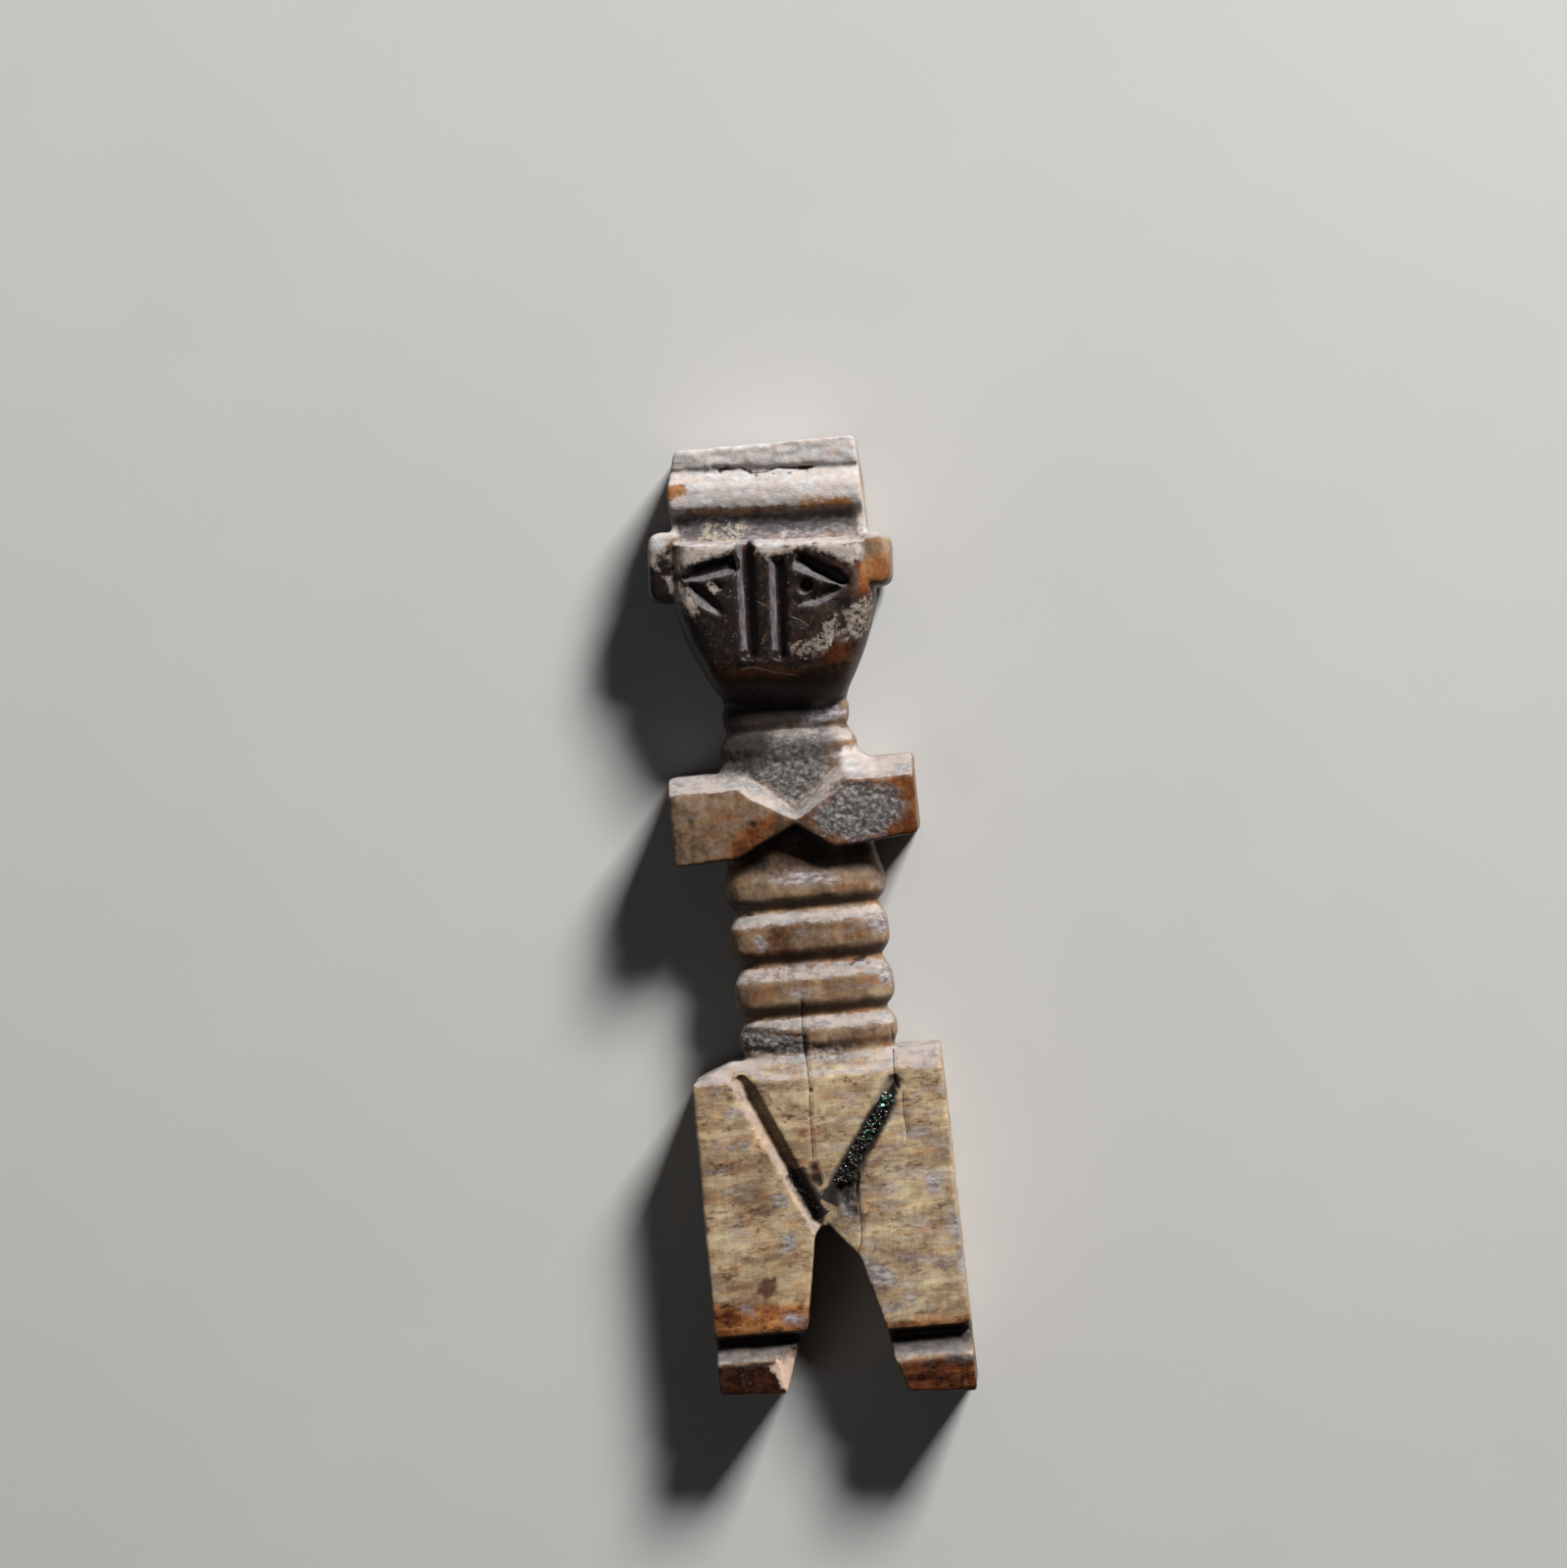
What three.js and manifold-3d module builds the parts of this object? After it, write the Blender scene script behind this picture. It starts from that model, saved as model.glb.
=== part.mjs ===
// A small idol carved from one piece of bone, lying on its back: a banded crown over a flat incised face,
// a ringed neck and waist, two breast blocks whose points meet, and squared legs parted by a sawn gap.
// Units are millimetres. +X is to the right as the face is seen, +Y runs from the soles to the crown and
// +Z rises out of the face. The origin is under the middle of the figure, on the surface it lies on.
import * as THREE from 'three';
import { ConvexGeometry } from 'three/addons/geometries/ConvexGeometry.js';
import { mergeVertices } from 'three/addons/utils/BufferGeometryUtils.js';
import Module from 'manifold-3d';

const wasm = await Module();
wasm.setup();

// Driving dimensions. Heights are taken above the lowest corner of the soles, depths above the back.
const HEIGHT = 100;
const HALF_WIDTH = 13.4;
const LEG_DEPTH = 10.4;
const BREAST_DEPTH = 11.4;
const FACE_DEPTH = 11.2;

// Legs: the soles slope, so the standing figure leans.
const SOLE_TILT = THREE.MathUtils.degToRad(3.6);
const HIP_TOP = 36.1;
const HIP_SIDES = { left: -13.4, right: 12.6 };
const HIP_SHOULDER = { height: 33.8, depth: 8.8 };
const HIP_BACK_EASE = 1.0;
const LEFT_HIP_EASE = { across: 4.0, down: 1.9 };
const CROTCH = { x: -0.9, height: 18.3, halfWidth: 0.5 };
const LEFT_INNER_LEG = [[-2.1, 17.2], [-3.7, 7.6], [-4.9, 6.2]];
const RIGHT_INNER_LEG = [[2.5, 14.9], [4.4, 7.9], [5.0, 4.2]];
const INNER_SOLE_X = 6.3;
const LEFT_ANKLE = { from: -14.5, to: -2, upper: 7.8, apex: 7.0, lower: 4.8 };
const RIGHT_ANKLE = { from: 2, to: 14.5, upper: 7.2, apex: 6.4, lower: 3.9 };
const ANKLE_CUT = 2.0;
const FOOT_CHIP = {
  front: [[-7.3, 6.0], [-6.4, 0.9], [-3.6, 6.0], [-4.6, 0.5]],
  inner: [[-4.3, 6.0], [-5.5, 1.4]],
  depth: 2.4,
};

// Groin: two gouged lines that run from the hips to the crotch.
const LEFT_GROIN = { from: [-8.6, 34.6], to: [-1.2, 18.0], startWidth: 2.3, endWidth: 1.8 };
const RIGHT_GROIN = { from: [7.9, 33.3], to: [-0.9, 18.3], startWidth: 1.7, endWidth: 2.2 };
const GROIN_CUT = 1.2;

// Waist: a squared column of bands on a flared foot. Each cut slopes in above a band and comes out steeply.
const WAIST = { halfWidth: 8.35, front: 9.5, back: 0.6, squareness: 5 };
const WAIST_FOOT = [
  { height: 33.5, cut: -0.5 },
  { height: 35.2, cut: -0.2 },
  { height: 36.4, cut: 0.5 },
];
const WAIST_BANDS = [
  { lower: 37.0, upper: 39.2 },
  { lower: 41.2, upper: 44.5 },
  { lower: 46.8, upper: 50.3 },
];
const CHEST_BAND = { lower: 52.3, full: 54.2, top: 60.9, topCut: 1.6 };
const WAIST_CUT = 1.0;
const CUT_SLOPE_SHARE = 0.6;
const BAND_EASE = 0.3;

// Chest: a core behind two pentagonal breast blocks, with a chip taken out above their meeting points.
const CHEST_CORE = { halfWidth: 7.6, bottom: 60.3, top: 67, front: 9.0, back: 0.6 };
const BREAST_BACK = 0;
const BREAST_POINT = [-0.1, 60.8];
const BREAST_OVERLAP = 0.7;
const LEFT_BREAST = { outer: -13.1, bottom: 56.9, inner: [-6.6, 57.2], top: [-5.6, 66.1] };
const RIGHT_BREAST = { outer: 12.4, bottom: 58.4, inner: [3.6, 57.6], top: [5.4, 66.5] };
const BREAST_SHOULDER = { bottom: 55, height: 64.2, depth: 9.3, top: 66.6 };
const CHEST_CHIP = {
  rim: { reach: 6.0, height: 64.2 },
  shoulder: { reach: 4.7, height: 66.7, depth: 9.2 },
  floor: { reach: 3.3, height: 67.6, depth: 8.8 },
  tip: { height: 61.6, depth: 9.7 },
};

// Neck: a rounder column with two bands. Its front sinks towards the chin.
const NECK = { x: -0.45, halfWidth: 7.2, front: 8.9, back: 1.3, squareness: 3, bottom: 64, top: 77 };
const NECK_BANDS = [
  { height: 66.2, cut: 0 },
  { height: 68.5, cut: 0 },
  { height: 70.2, cut: 0.95, sink: 0.5 },
  { height: 70.9, cut: 0.6, sink: 0.7 },
  { height: 72.4, cut: 0.55, sink: 1.1 },
  { height: 73.6, cut: 1.0, sink: 1.1 },
];

// Head: a shield-shaped face whose chin turns under, with a side lobe at each temple.
const FACE_TILT = THREE.MathUtils.degToRad(-3.7);
const FACE_TOP = 89.7;
const FACE_SIDES = { left: -10.8, right: 10.1 };
const JAW = { x: -0.3, start: 83.4, bulge: [9.9, 79.2], end: [6.2, 73.0] };
const FACE_BEVEL = { depth: 3.0, size: 2.2 };
const CHIN = { height: 78.4, turn: 75.2, depth: 7.6, bottom: 73.0 };
const LEFT_LOBE = { outer: -13.15, inner: -9, lower: 83.6, upper: 91.0, front: 9.6 };
const RIGHT_LOBE = { outer: 12.2, inner: 9, lower: 84.9, upper: 90.5, front: 10.7 };
const LOBE_BACK = 0.8;
const LOBE_BEVEL = 0.9;

// Face: every eye is a gouged cut over a knife cut, joined at its outer corner. Two lines mark the nose.
const LEFT_EYE = { corner: [-9.7, 86.7], upper: [-4.1, 87.7], lower: [-5.5, 82.4], pupil: [-6.3, 85.6] };
const RIGHT_EYE = { corner: [7.4, 84.7], upper: [2.2, 87.8], lower: [1.7, 82.8], pupil: [3.05, 84.85] };
const UPPER_CUT = { startWidth: 0.7, endWidth: 1.9 };
const LOWER_CUT_WIDTH = 1.7;
const EYE_DEPTH = 1.05;
const PUPIL = { radius: 0.65, depth: 1.1 };
const NOSE_LINES = [
  { from: [-2.95, 91.0], to: [-3.4, 77.8], startWidth: 2.0, endWidth: 1.8 },
  { from: [0.3, 88.1], to: [-0.25, 77.5], startWidth: 1.7, endWidth: 1.5 },
];
const NOSE_DEPTH = 1.0;

// Crown: a sawn block whose front carries a top band, a roll and a hollow above the brow.
const CROWN_TILT = THREE.MathUtils.degToRad(-3);
const CROWN_OUTLINE = [[-10.4, 87], [9.8, 87], [9.6, 95], [9.3, HEIGHT], [-9.5, HEIGHT], [-10.5, 96]];
const CROWN_BACK = 0.5;
const CROWN_PROFILE = [[9.6, 104], [9.6, 97.8], [9.0, 97.3], [9.9, 96.2], [10.3, 95.6], [10.35, 94.2],
  [10.05, 93.3], [9.2, 92.7], [8.8, 91.9], [8.9, 90.8], [9.5, 89.4]];

// Steps of the curves, and how far a cutter stands clear of the surface that it cuts.
const CURVE_STEPS = 6;
const SECTION_STEPS = 36;
const CLEAR = 0.4;
const REACH = 20;
const CORNER_EASE = 0.8;

// A closed geometry as a solid that can be joined and cut. Triangles that merging makes empty are left out.
function solid(geometry) {
  const bare = new THREE.BufferGeometry();
  bare.setAttribute('position', geometry.getAttribute('position'));
  bare.setIndex(geometry.index);
  const merged = mergeVertices(bare, 1e-4);
  const corners = merged.index.array;
  const triVerts = [];
  for (let i = 0; i < corners.length; i += 3) {
    const [a, b, c] = corners.slice(i, i + 3);
    if (a !== b && b !== c && c !== a) triVerts.push(a, b, c);
  }
  return new wasm.Manifold(new wasm.Mesh({
    numProp: 3,
    vertProperties: merged.getAttribute('position').array,
    triVerts: new Uint32Array(triVerts),
  }));
}

// A closed outline through corner points, each corner eased by a curve that starts a little before it.
function easedOutline(corners, ease = CORNER_EASE) {
  const points = corners.map(([x, y]) => new THREE.Vector2(x, y));
  const shape = new THREE.Shape();
  points.forEach((corner, i) => {
    const last = points[(i + points.length - 1) % points.length];
    const next = points[(i + 1) % points.length];
    const reach = Math.min(ease, corner.distanceTo(last) / 2.2, corner.distanceTo(next) / 2.2);
    const before = last.clone().sub(corner).setLength(reach).add(corner);
    const after = next.clone().sub(corner).setLength(reach).add(corner);
    if (i === 0) shape.moveTo(before.x, before.y);
    else shape.lineTo(before.x, before.y);
    shape.quadraticCurveTo(corner.x, corner.y, after.x, after.y);
  });
  shape.closePath();
  return shape;
}

// A front outline sawn straight through from one depth to another.
function sawnFront(shape, back, front, bevel = {}) {
  const geometry = new THREE.ExtrudeGeometry(shape, {
    depth: front - back - 2 * (bevel.bevelThickness ?? 0),
    bevelEnabled: false,
    curveSegments: CURVE_STEPS,
    ...bevel,
  });
  geometry.translate(0, 0, back + (bevel.bevelThickness ?? 0));
  return geometry;
}

// A side profile, drawn as depth and height, sawn across the whole width.
function sawnSide(shape) {
  const geometry = new THREE.ExtrudeGeometry(shape, {
    depth: 2 * REACH,
    bevelEnabled: false,
    curveSegments: CURVE_STEPS,
  });
  geometry.translate(0, 0, -REACH);
  geometry.rotateY(-Math.PI / 2);
  return geometry;
}

// The geometry turned in the plane of the face, about a point of the figure's middle line.
function turnedInPlane(geometry, angle, height) {
  geometry.translate(0, -height, 0);
  geometry.rotateZ(angle);
  geometry.translate(0, height, 0);
  return geometry;
}

// A chip with flat sides: the hull of its corner points.
function chip(points) {
  return solid(new ConvexGeometry(points.map(([x, y, z]) => new THREE.Vector3(x, y, z))));
}

// A column that is turned first and then squared. Each row of its profile says how deep the cut is at one
// height, and may say how much farther the front sinks there.
function squaredColumn(column, rows) {
  const halfDepth = (column.front - column.back) / 2;
  const middle = (column.front + column.back) / 2;
  const profile = [
    new THREE.Vector2(0, rows[0].height),
    ...rows.map((row) => new THREE.Vector2(column.halfWidth - row.cut, row.height)),
    new THREE.Vector2(0, rows.at(-1).height),
  ];
  const geometry = new THREE.LatheGeometry(profile, SECTION_STEPS);
  const position = geometry.getAttribute('position');
  const squared = (value) => Math.sign(value) * Math.abs(value) ** (2 / column.squareness);
  const sinks = new Map(rows.map((row) => [Math.fround(row.height), row.sink ?? 0]));
  for (let i = 0; i < position.count; i += 1) {
    const radius = Math.hypot(position.getX(i), position.getZ(i));
    if (radius < 1e-6) {
      position.setXYZ(i, column.x ?? 0, position.getY(i), middle);
      continue;
    }
    const cut = column.halfWidth - radius;
    const sink = position.getZ(i) > 0 ? sinks.get(position.getY(i)) : 0;
    position.setX(i, (column.x ?? 0) + radius * squared(position.getX(i) / radius));
    position.setZ(i, middle + (halfDepth - cut - sink) * squared(position.getZ(i) / radius));
  }
  return solid(geometry);
}

// A long cut with two sloping walls and a narrow floor, between two points of a flat front.
function gouge({ from, to, startWidth, endWidth }, front, depth) {
  const start = new THREE.Vector2(...from);
  const end = new THREE.Vector2(...to);
  const side = end.clone().sub(start).normalize().rotateAround(new THREE.Vector2(), Math.PI / 2);
  const floorShare = 0.2;
  const rimGrowth = 1 + CLEAR / depth;
  const corners = [];
  for (const [point, width] of [[start, startWidth], [end, endWidth]]) {
    for (const hand of [-0.5, 0.5]) {
      const rim = point.clone().addScaledVector(side, hand * width * rimGrowth);
      const floor = point.clone().addScaledVector(side, hand * width * floorShare);
      corners.push([rim.x, rim.y, front + CLEAR], [floor.x, floor.y, front - depth]);
    }
  }
  return chip(corners);
}

// A leaf-shaped knife cut, deepest at its middle and running out at both ends.
function knifeCut(from, to, width, depth, front) {
  const start = new THREE.Vector2(...from);
  const end = new THREE.Vector2(...to);
  const along = end.clone().sub(start);
  const side = along.clone().normalize().rotateAround(new THREE.Vector2(), Math.PI / 2);
  const middle = start.clone().add(end).multiplyScalar(0.5);
  const keelReach = 0.22;
  const rimGrowth = 1 + CLEAR / depth;
  const ends = [start, end].map((point) => point.clone().sub(middle).multiplyScalar(rimGrowth).add(middle));
  const sides = [-0.5, 0.5].map((hand) => middle.clone().addScaledVector(side, hand * width * rimGrowth));
  const keel = [-keelReach, keelReach].map((share) => middle.clone().addScaledVector(along, share));
  return chip([
    ...[...ends, ...sides].map((point) => [point.x, point.y, front + CLEAR]),
    ...keel.map((point) => [point.x, point.y, front - depth]),
  ]);
}

// A notch across a leg's front: its upper wall is steep and its lower wall slopes out.
function ankleNotch({ from, to, upper, apex, lower }) {
  const outer = LEG_DEPTH + CLEAR;
  const lowerSlope = (apex - lower) / ANKLE_CUT;
  return chip([from, to].flatMap((x) => [
    [x, upper, outer],
    [x, lower - lowerSlope * CLEAR, outer],
    [x, apex, LEG_DEPTH - ANKLE_CUT],
  ]));
}

const soleHeight = (x) => (HALF_WIDTH - x) * Math.tan(SOLE_TILT);

// Hips, legs and feet: a slab with a sawn gap, a sloping top and a notch over each foot.
function legs() {
  const front = easedOutline([
    [-HALF_WIDTH, soleHeight(-HALF_WIDTH)],
    [-INNER_SOLE_X, soleHeight(-INNER_SOLE_X)],
    ...LEFT_INNER_LEG.toReversed(),
    [CROTCH.x - CROTCH.halfWidth, CROTCH.height],
    [CROTCH.x + CROTCH.halfWidth, CROTCH.height],
    ...RIGHT_INNER_LEG,
    [INNER_SOLE_X, soleHeight(INNER_SOLE_X)],
    [HALF_WIDTH, 0],
    [HIP_SIDES.right, HIP_TOP],
    [HIP_SIDES.left + LEFT_HIP_EASE.across, HIP_TOP],
    [HIP_SIDES.left, HIP_TOP - LEFT_HIP_EASE.down],
  ], 0.4);
  const side = easedOutline([
    [0, -REACH],
    [LEG_DEPTH, -REACH],
    [LEG_DEPTH, HIP_SHOULDER.height],
    [HIP_SHOULDER.depth, HIP_TOP],
    [HIP_BACK_EASE, HIP_TOP],
    [0, HIP_TOP - HIP_BACK_EASE],
  ], 0.3);
  return solid(sawnFront(front, 0, LEG_DEPTH))
    .intersect(solid(sawnSide(side)))
    .subtract(ankleNotch(LEFT_ANKLE))
    .subtract(ankleNotch(RIGHT_ANKLE))
    .subtract(chip([
      ...FOOT_CHIP.front.map(([x, y]) => [x, y, LEG_DEPTH + CLEAR]),
      ...FOOT_CHIP.inner.map(([x, y]) => [x, y, LEG_DEPTH - FOOT_CHIP.depth]),
    ]))
    .subtract(gouge(LEFT_GROIN, LEG_DEPTH, GROIN_CUT))
    .subtract(gouge(RIGHT_GROIN, LEG_DEPTH, GROIN_CUT));
}

// The waist's bands, with the edge of each band eased. The chest band thins up to the breasts.
function waist() {
  const rows = [...WAIST_FOOT];
  const bandFoot = (lower) => [{ height: lower, cut: BAND_EASE }, { height: lower + 2 * BAND_EASE, cut: 0 }];
  WAIST_BANDS.forEach(({ lower, upper }, i) => {
    const nextLower = WAIST_BANDS[i + 1]?.lower ?? CHEST_BAND.lower;
    rows.push(
      ...bandFoot(lower),
      { height: upper - 2 * BAND_EASE, cut: 0 },
      { height: upper, cut: BAND_EASE },
      { height: upper + CUT_SLOPE_SHARE * (nextLower - upper), cut: WAIST_CUT },
    );
  });
  rows.push(
    ...bandFoot(CHEST_BAND.lower),
    { height: CHEST_BAND.full, cut: 0 },
    { height: CHEST_BAND.top, cut: CHEST_BAND.topCut },
  );
  return squaredColumn(WAIST, rows);
}

// One breast block: a pentagon whose point runs a little past the middle of the chest.
function breast({ outer, bottom, inner, top }) {
  const [pointX, pointHeight] = BREAST_POINT;
  const tip = [pointX - Math.sign(outer) * BREAST_OVERLAP, pointHeight];
  const corners = [[outer, bottom], inner, tip, top, [outer, top[1]]];
  const shape = easedOutline(outer < 0 ? corners : corners.toReversed(), 0.5);
  return solid(sawnFront(shape, BREAST_BACK, BREAST_DEPTH));
}

// The chest: both breast blocks on their core, shouldered along the top, with the chip between them.
function chest() {
  const core = easedOutline([
    [-CHEST_CORE.halfWidth, CHEST_CORE.bottom],
    [CHEST_CORE.halfWidth, CHEST_CORE.bottom],
    [CHEST_CORE.halfWidth, CHEST_CORE.top],
    [-CHEST_CORE.halfWidth, CHEST_CORE.top],
  ]);
  const shoulder = easedOutline([
    [BREAST_BACK, BREAST_SHOULDER.bottom],
    [BREAST_DEPTH, BREAST_SHOULDER.bottom],
    [BREAST_DEPTH, BREAST_SHOULDER.height],
    [BREAST_SHOULDER.depth, BREAST_SHOULDER.top],
    [BREAST_BACK, BREAST_SHOULDER.top],
  ], 0.3);
  const { rim, shoulder: brink, floor, tip } = CHEST_CHIP;
  const [pointX, pointHeight] = BREAST_POINT;
  const clearDepth = BREAST_DEPTH + CLEAR;
  const between = chip([
    [pointX, pointHeight, BREAST_DEPTH],
    [pointX, pointHeight, clearDepth],
    [pointX, tip.height, tip.depth],
    ...[-1, 1].flatMap((hand) => [
      [pointX + hand * rim.reach, rim.height, BREAST_DEPTH],
      [pointX + hand * rim.reach, rim.height, clearDepth],
      [pointX + hand * rim.reach, floor.height, clearDepth],
      [pointX + hand * brink.reach, brink.height, brink.depth],
      [pointX + hand * floor.reach, floor.height, floor.depth],
    ]),
  ]);
  return solid(sawnFront(core, CHEST_CORE.back, CHEST_CORE.front))
    .add(breast(LEFT_BREAST).add(breast(RIGHT_BREAST)).intersect(solid(sawnSide(shoulder))))
    .subtract(between);
}

// The neck's two bands.
function neck() {
  const rows = [
    { height: NECK.bottom, cut: 0 },
    ...NECK_BANDS,
    { ...NECK_BANDS.at(-1), height: NECK.top },
  ];
  return squaredColumn(NECK, rows);
}

// One temple lobe, a rounded block that follows the tilt of the face.
function lobe({ outer, inner, lower, upper, front }) {
  const shape = easedOutline([
    [Math.min(outer, inner), lower],
    [Math.max(outer, inner), lower],
    [Math.max(outer, inner), upper],
    [Math.min(outer, inner), upper],
  ], 1.6);
  const bevel = {
    bevelEnabled: true,
    bevelThickness: LOBE_BEVEL,
    bevelSize: LOBE_BEVEL,
    bevelOffset: -LOBE_BEVEL,
    bevelSegments: 2,
  };
  return solid(turnedInPlane(sawnFront(shape, LOBE_BACK, front, bevel), FACE_TILT, FACE_TOP));
}

// The face's shield outline, with a curved jaw. It runs on past the top edge, which is trimmed later.
function faceShape() {
  const { left, right } = FACE_SIDES;
  const [bulgeReach, bulgeHeight] = JAW.bulge;
  const [endReach, endHeight] = JAW.end;
  const slope = Math.tan(FACE_TILT);
  const shape = new THREE.Shape();
  const sparedTop = FACE_TOP + 2 * FACE_BEVEL.size;
  shape.moveTo(left, sparedTop + left * slope);
  shape.lineTo(left, JAW.start);
  shape.quadraticCurveTo(JAW.x - bulgeReach, bulgeHeight, JAW.x - endReach, endHeight);
  shape.lineTo(JAW.x + endReach, endHeight);
  shape.quadraticCurveTo(JAW.x + bulgeReach, bulgeHeight, right, JAW.start);
  shape.lineTo(right, sparedTop + right * slope);
  shape.closePath();
  return shape;
}

// The head: the rounded face, trimmed along its tilted top, with its chin turned under, and both lobes.
function head() {
  const bevel = {
    bevelEnabled: true,
    bevelThickness: FACE_BEVEL.depth,
    bevelSize: FACE_BEVEL.size,
    bevelOffset: -FACE_BEVEL.size,
    bevelSegments: 4,
  };
  const profile = new THREE.Shape();
  profile.moveTo(0, FACE_TOP);
  profile.lineTo(CHIN.bottom - CHIN.height, CHIN.bottom);
  profile.lineTo(CHIN.depth, CHIN.bottom);
  profile.quadraticCurveTo(FACE_DEPTH, CHIN.turn, FACE_DEPTH, CHIN.height);
  profile.lineTo(FACE_DEPTH, FACE_TOP - CLEAR);
  profile.lineTo(FACE_DEPTH - CLEAR, FACE_TOP);
  profile.closePath();
  return solid(sawnFront(faceShape(), 0, FACE_DEPTH, bevel))
    .intersect(solid(turnedInPlane(sawnSide(profile), FACE_TILT, FACE_TOP)))
    .add(lobe(LEFT_LOBE))
    .add(lobe(RIGHT_LOBE));
}

// The crown: its front outline cut by a tilted side profile of bands.
function crown() {
  const profile = easedOutline([...CROWN_PROFILE, [CROWN_BACK, 86], [CROWN_BACK, 104]], 0.3);
  const bands = turnedInPlane(sawnSide(profile), CROWN_TILT, FACE_TOP);
  return solid(sawnFront(easedOutline(CROWN_OUTLINE, 0.5), 0, FACE_DEPTH)).intersect(solid(bands));
}

// Every cut of the face, joined as one cutter.
function faceCuts() {
  const cuts = [];
  for (const { corner, upper, lower, pupil } of [LEFT_EYE, RIGHT_EYE]) {
    const drilled = new THREE.CylinderGeometry(PUPIL.radius, PUPIL.radius, PUPIL.depth + CLEAR, 10);
    drilled.rotateX(Math.PI / 2);
    drilled.translate(...pupil, FACE_DEPTH - (PUPIL.depth - CLEAR) / 2);
    cuts.push(
      gouge({ from: corner, to: upper, ...UPPER_CUT }, FACE_DEPTH, EYE_DEPTH),
      knifeCut(corner, lower, LOWER_CUT_WIDTH, EYE_DEPTH, FACE_DEPTH),
      solid(drilled),
    );
  }
  for (const line of NOSE_LINES) cuts.push(gouge(line, FACE_DEPTH, NOSE_DEPTH));
  return cuts.reduce((all, cut) => all.add(cut));
}

// The whole figure as one solid.
function figure() {
  return legs().add(waist()).add(chest()).add(neck()).add(head().add(crown()).subtract(faceCuts()));
}

// A solid as a geometry for drawing.
function geometryOf(made) {
  const mesh = made.getMesh();
  const geometry = new THREE.BufferGeometry();
  geometry.setAttribute('position', new THREE.BufferAttribute(mesh.vertProperties, 3));
  geometry.setIndex(new THREE.BufferAttribute(mesh.triVerts, 1));
  return geometry;
}

const bone = new THREE.MeshStandardMaterial({ color: 0xb3926b, roughness: 0.6, metalness: 0 });
const idol = new THREE.Mesh(geometryOf(figure()), bone);
idol.name = 'bone_figure';
idol.position.y = -HEIGHT / 2;

const part = new THREE.Group();
part.add(idol);
export default part;
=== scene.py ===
"""Looks of a small bone idol that lies on its flat back: the worn and stained carving, the crumbs caught in
its grooves, a pale floor, soft light and a camera above it.

Places on the figure are given in millimetres: x across, h up the figure from its lowest sole corner, and z
above the flat back.
"""

import itertools
import math

import bmesh
import bpy
import numpy as np
from mathutils import Matrix, Vector
from mathutils.bvhtree import BVHTree


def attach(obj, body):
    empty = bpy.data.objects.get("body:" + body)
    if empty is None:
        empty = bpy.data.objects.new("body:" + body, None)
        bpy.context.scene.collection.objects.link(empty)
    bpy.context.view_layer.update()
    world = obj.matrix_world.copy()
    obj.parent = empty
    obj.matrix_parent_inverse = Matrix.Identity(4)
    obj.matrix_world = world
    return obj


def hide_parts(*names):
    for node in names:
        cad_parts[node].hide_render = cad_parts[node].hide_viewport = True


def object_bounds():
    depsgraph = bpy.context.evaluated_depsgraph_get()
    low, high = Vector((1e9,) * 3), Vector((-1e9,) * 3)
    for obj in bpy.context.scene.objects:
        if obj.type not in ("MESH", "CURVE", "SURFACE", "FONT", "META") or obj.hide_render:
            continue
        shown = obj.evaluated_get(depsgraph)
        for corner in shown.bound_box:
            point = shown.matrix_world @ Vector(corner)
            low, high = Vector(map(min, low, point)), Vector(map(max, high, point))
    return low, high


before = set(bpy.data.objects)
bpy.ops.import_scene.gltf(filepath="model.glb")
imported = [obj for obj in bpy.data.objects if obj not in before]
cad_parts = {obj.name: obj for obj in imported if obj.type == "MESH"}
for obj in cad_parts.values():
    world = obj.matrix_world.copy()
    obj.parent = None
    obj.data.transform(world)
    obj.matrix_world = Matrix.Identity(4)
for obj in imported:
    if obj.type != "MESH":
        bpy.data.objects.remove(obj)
cad_low, cad_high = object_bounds()

# Units and the figure's place
MM = 0.001
FIGURE_MIDDLE = 50.0

# Mesh of the carved bone, and the rounds and strength of its smoothing
VOXEL = 0.22
MOST_TRIANGLES = 196000
WEAR_ROUNDS = 2
ROUNDING_ROUNDS = 60
NORMAL_ROUNDS = 6
HOLLOW_ROUNDS = 14
EASE_SHARE = 0.5

# Where the surface counts as front: heights above the back, and how far its normal points up
FRONT_DEPTH = 7.5
BACK_EDGE = (0.2, 1.5)
FRONT_NORMALS = (0.2, 0.7)
FACING_NORMALS = (0.0, 0.4)
LEAST_FACING = 0.1

# The view
VIEW_CENTRE = (-1.17, 64.55, 9.0)
VIEW_HEIGHT = 163.1
VIEW_DISTANCE = 600.0
VIEW_YAW = math.radians(2.5)
VIEW_PITCH = math.radians(1.5)
VIEW_LEAN = math.radians(5.1)
SENSOR = 24.0
CLIP_START = 0.01

# Floor and lights, in metres and watts
FLOOR_HALF = 3.0
KEY_PLACE = (0.58, 0.85, 0.62)
KEY_SIZE = 0.30
KEY_POWER = 26.5
KEY_TINT = (1.0, 0.99, 0.98)
FILL_PLACE = (-0.6, -0.2, 1.0)
FILL_SIZE = 0.6
FILL_POWER = 0.5
FILL_TINT = (0.95, 0.97, 1.0)
WORLD_STRENGTH = 0.015

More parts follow.
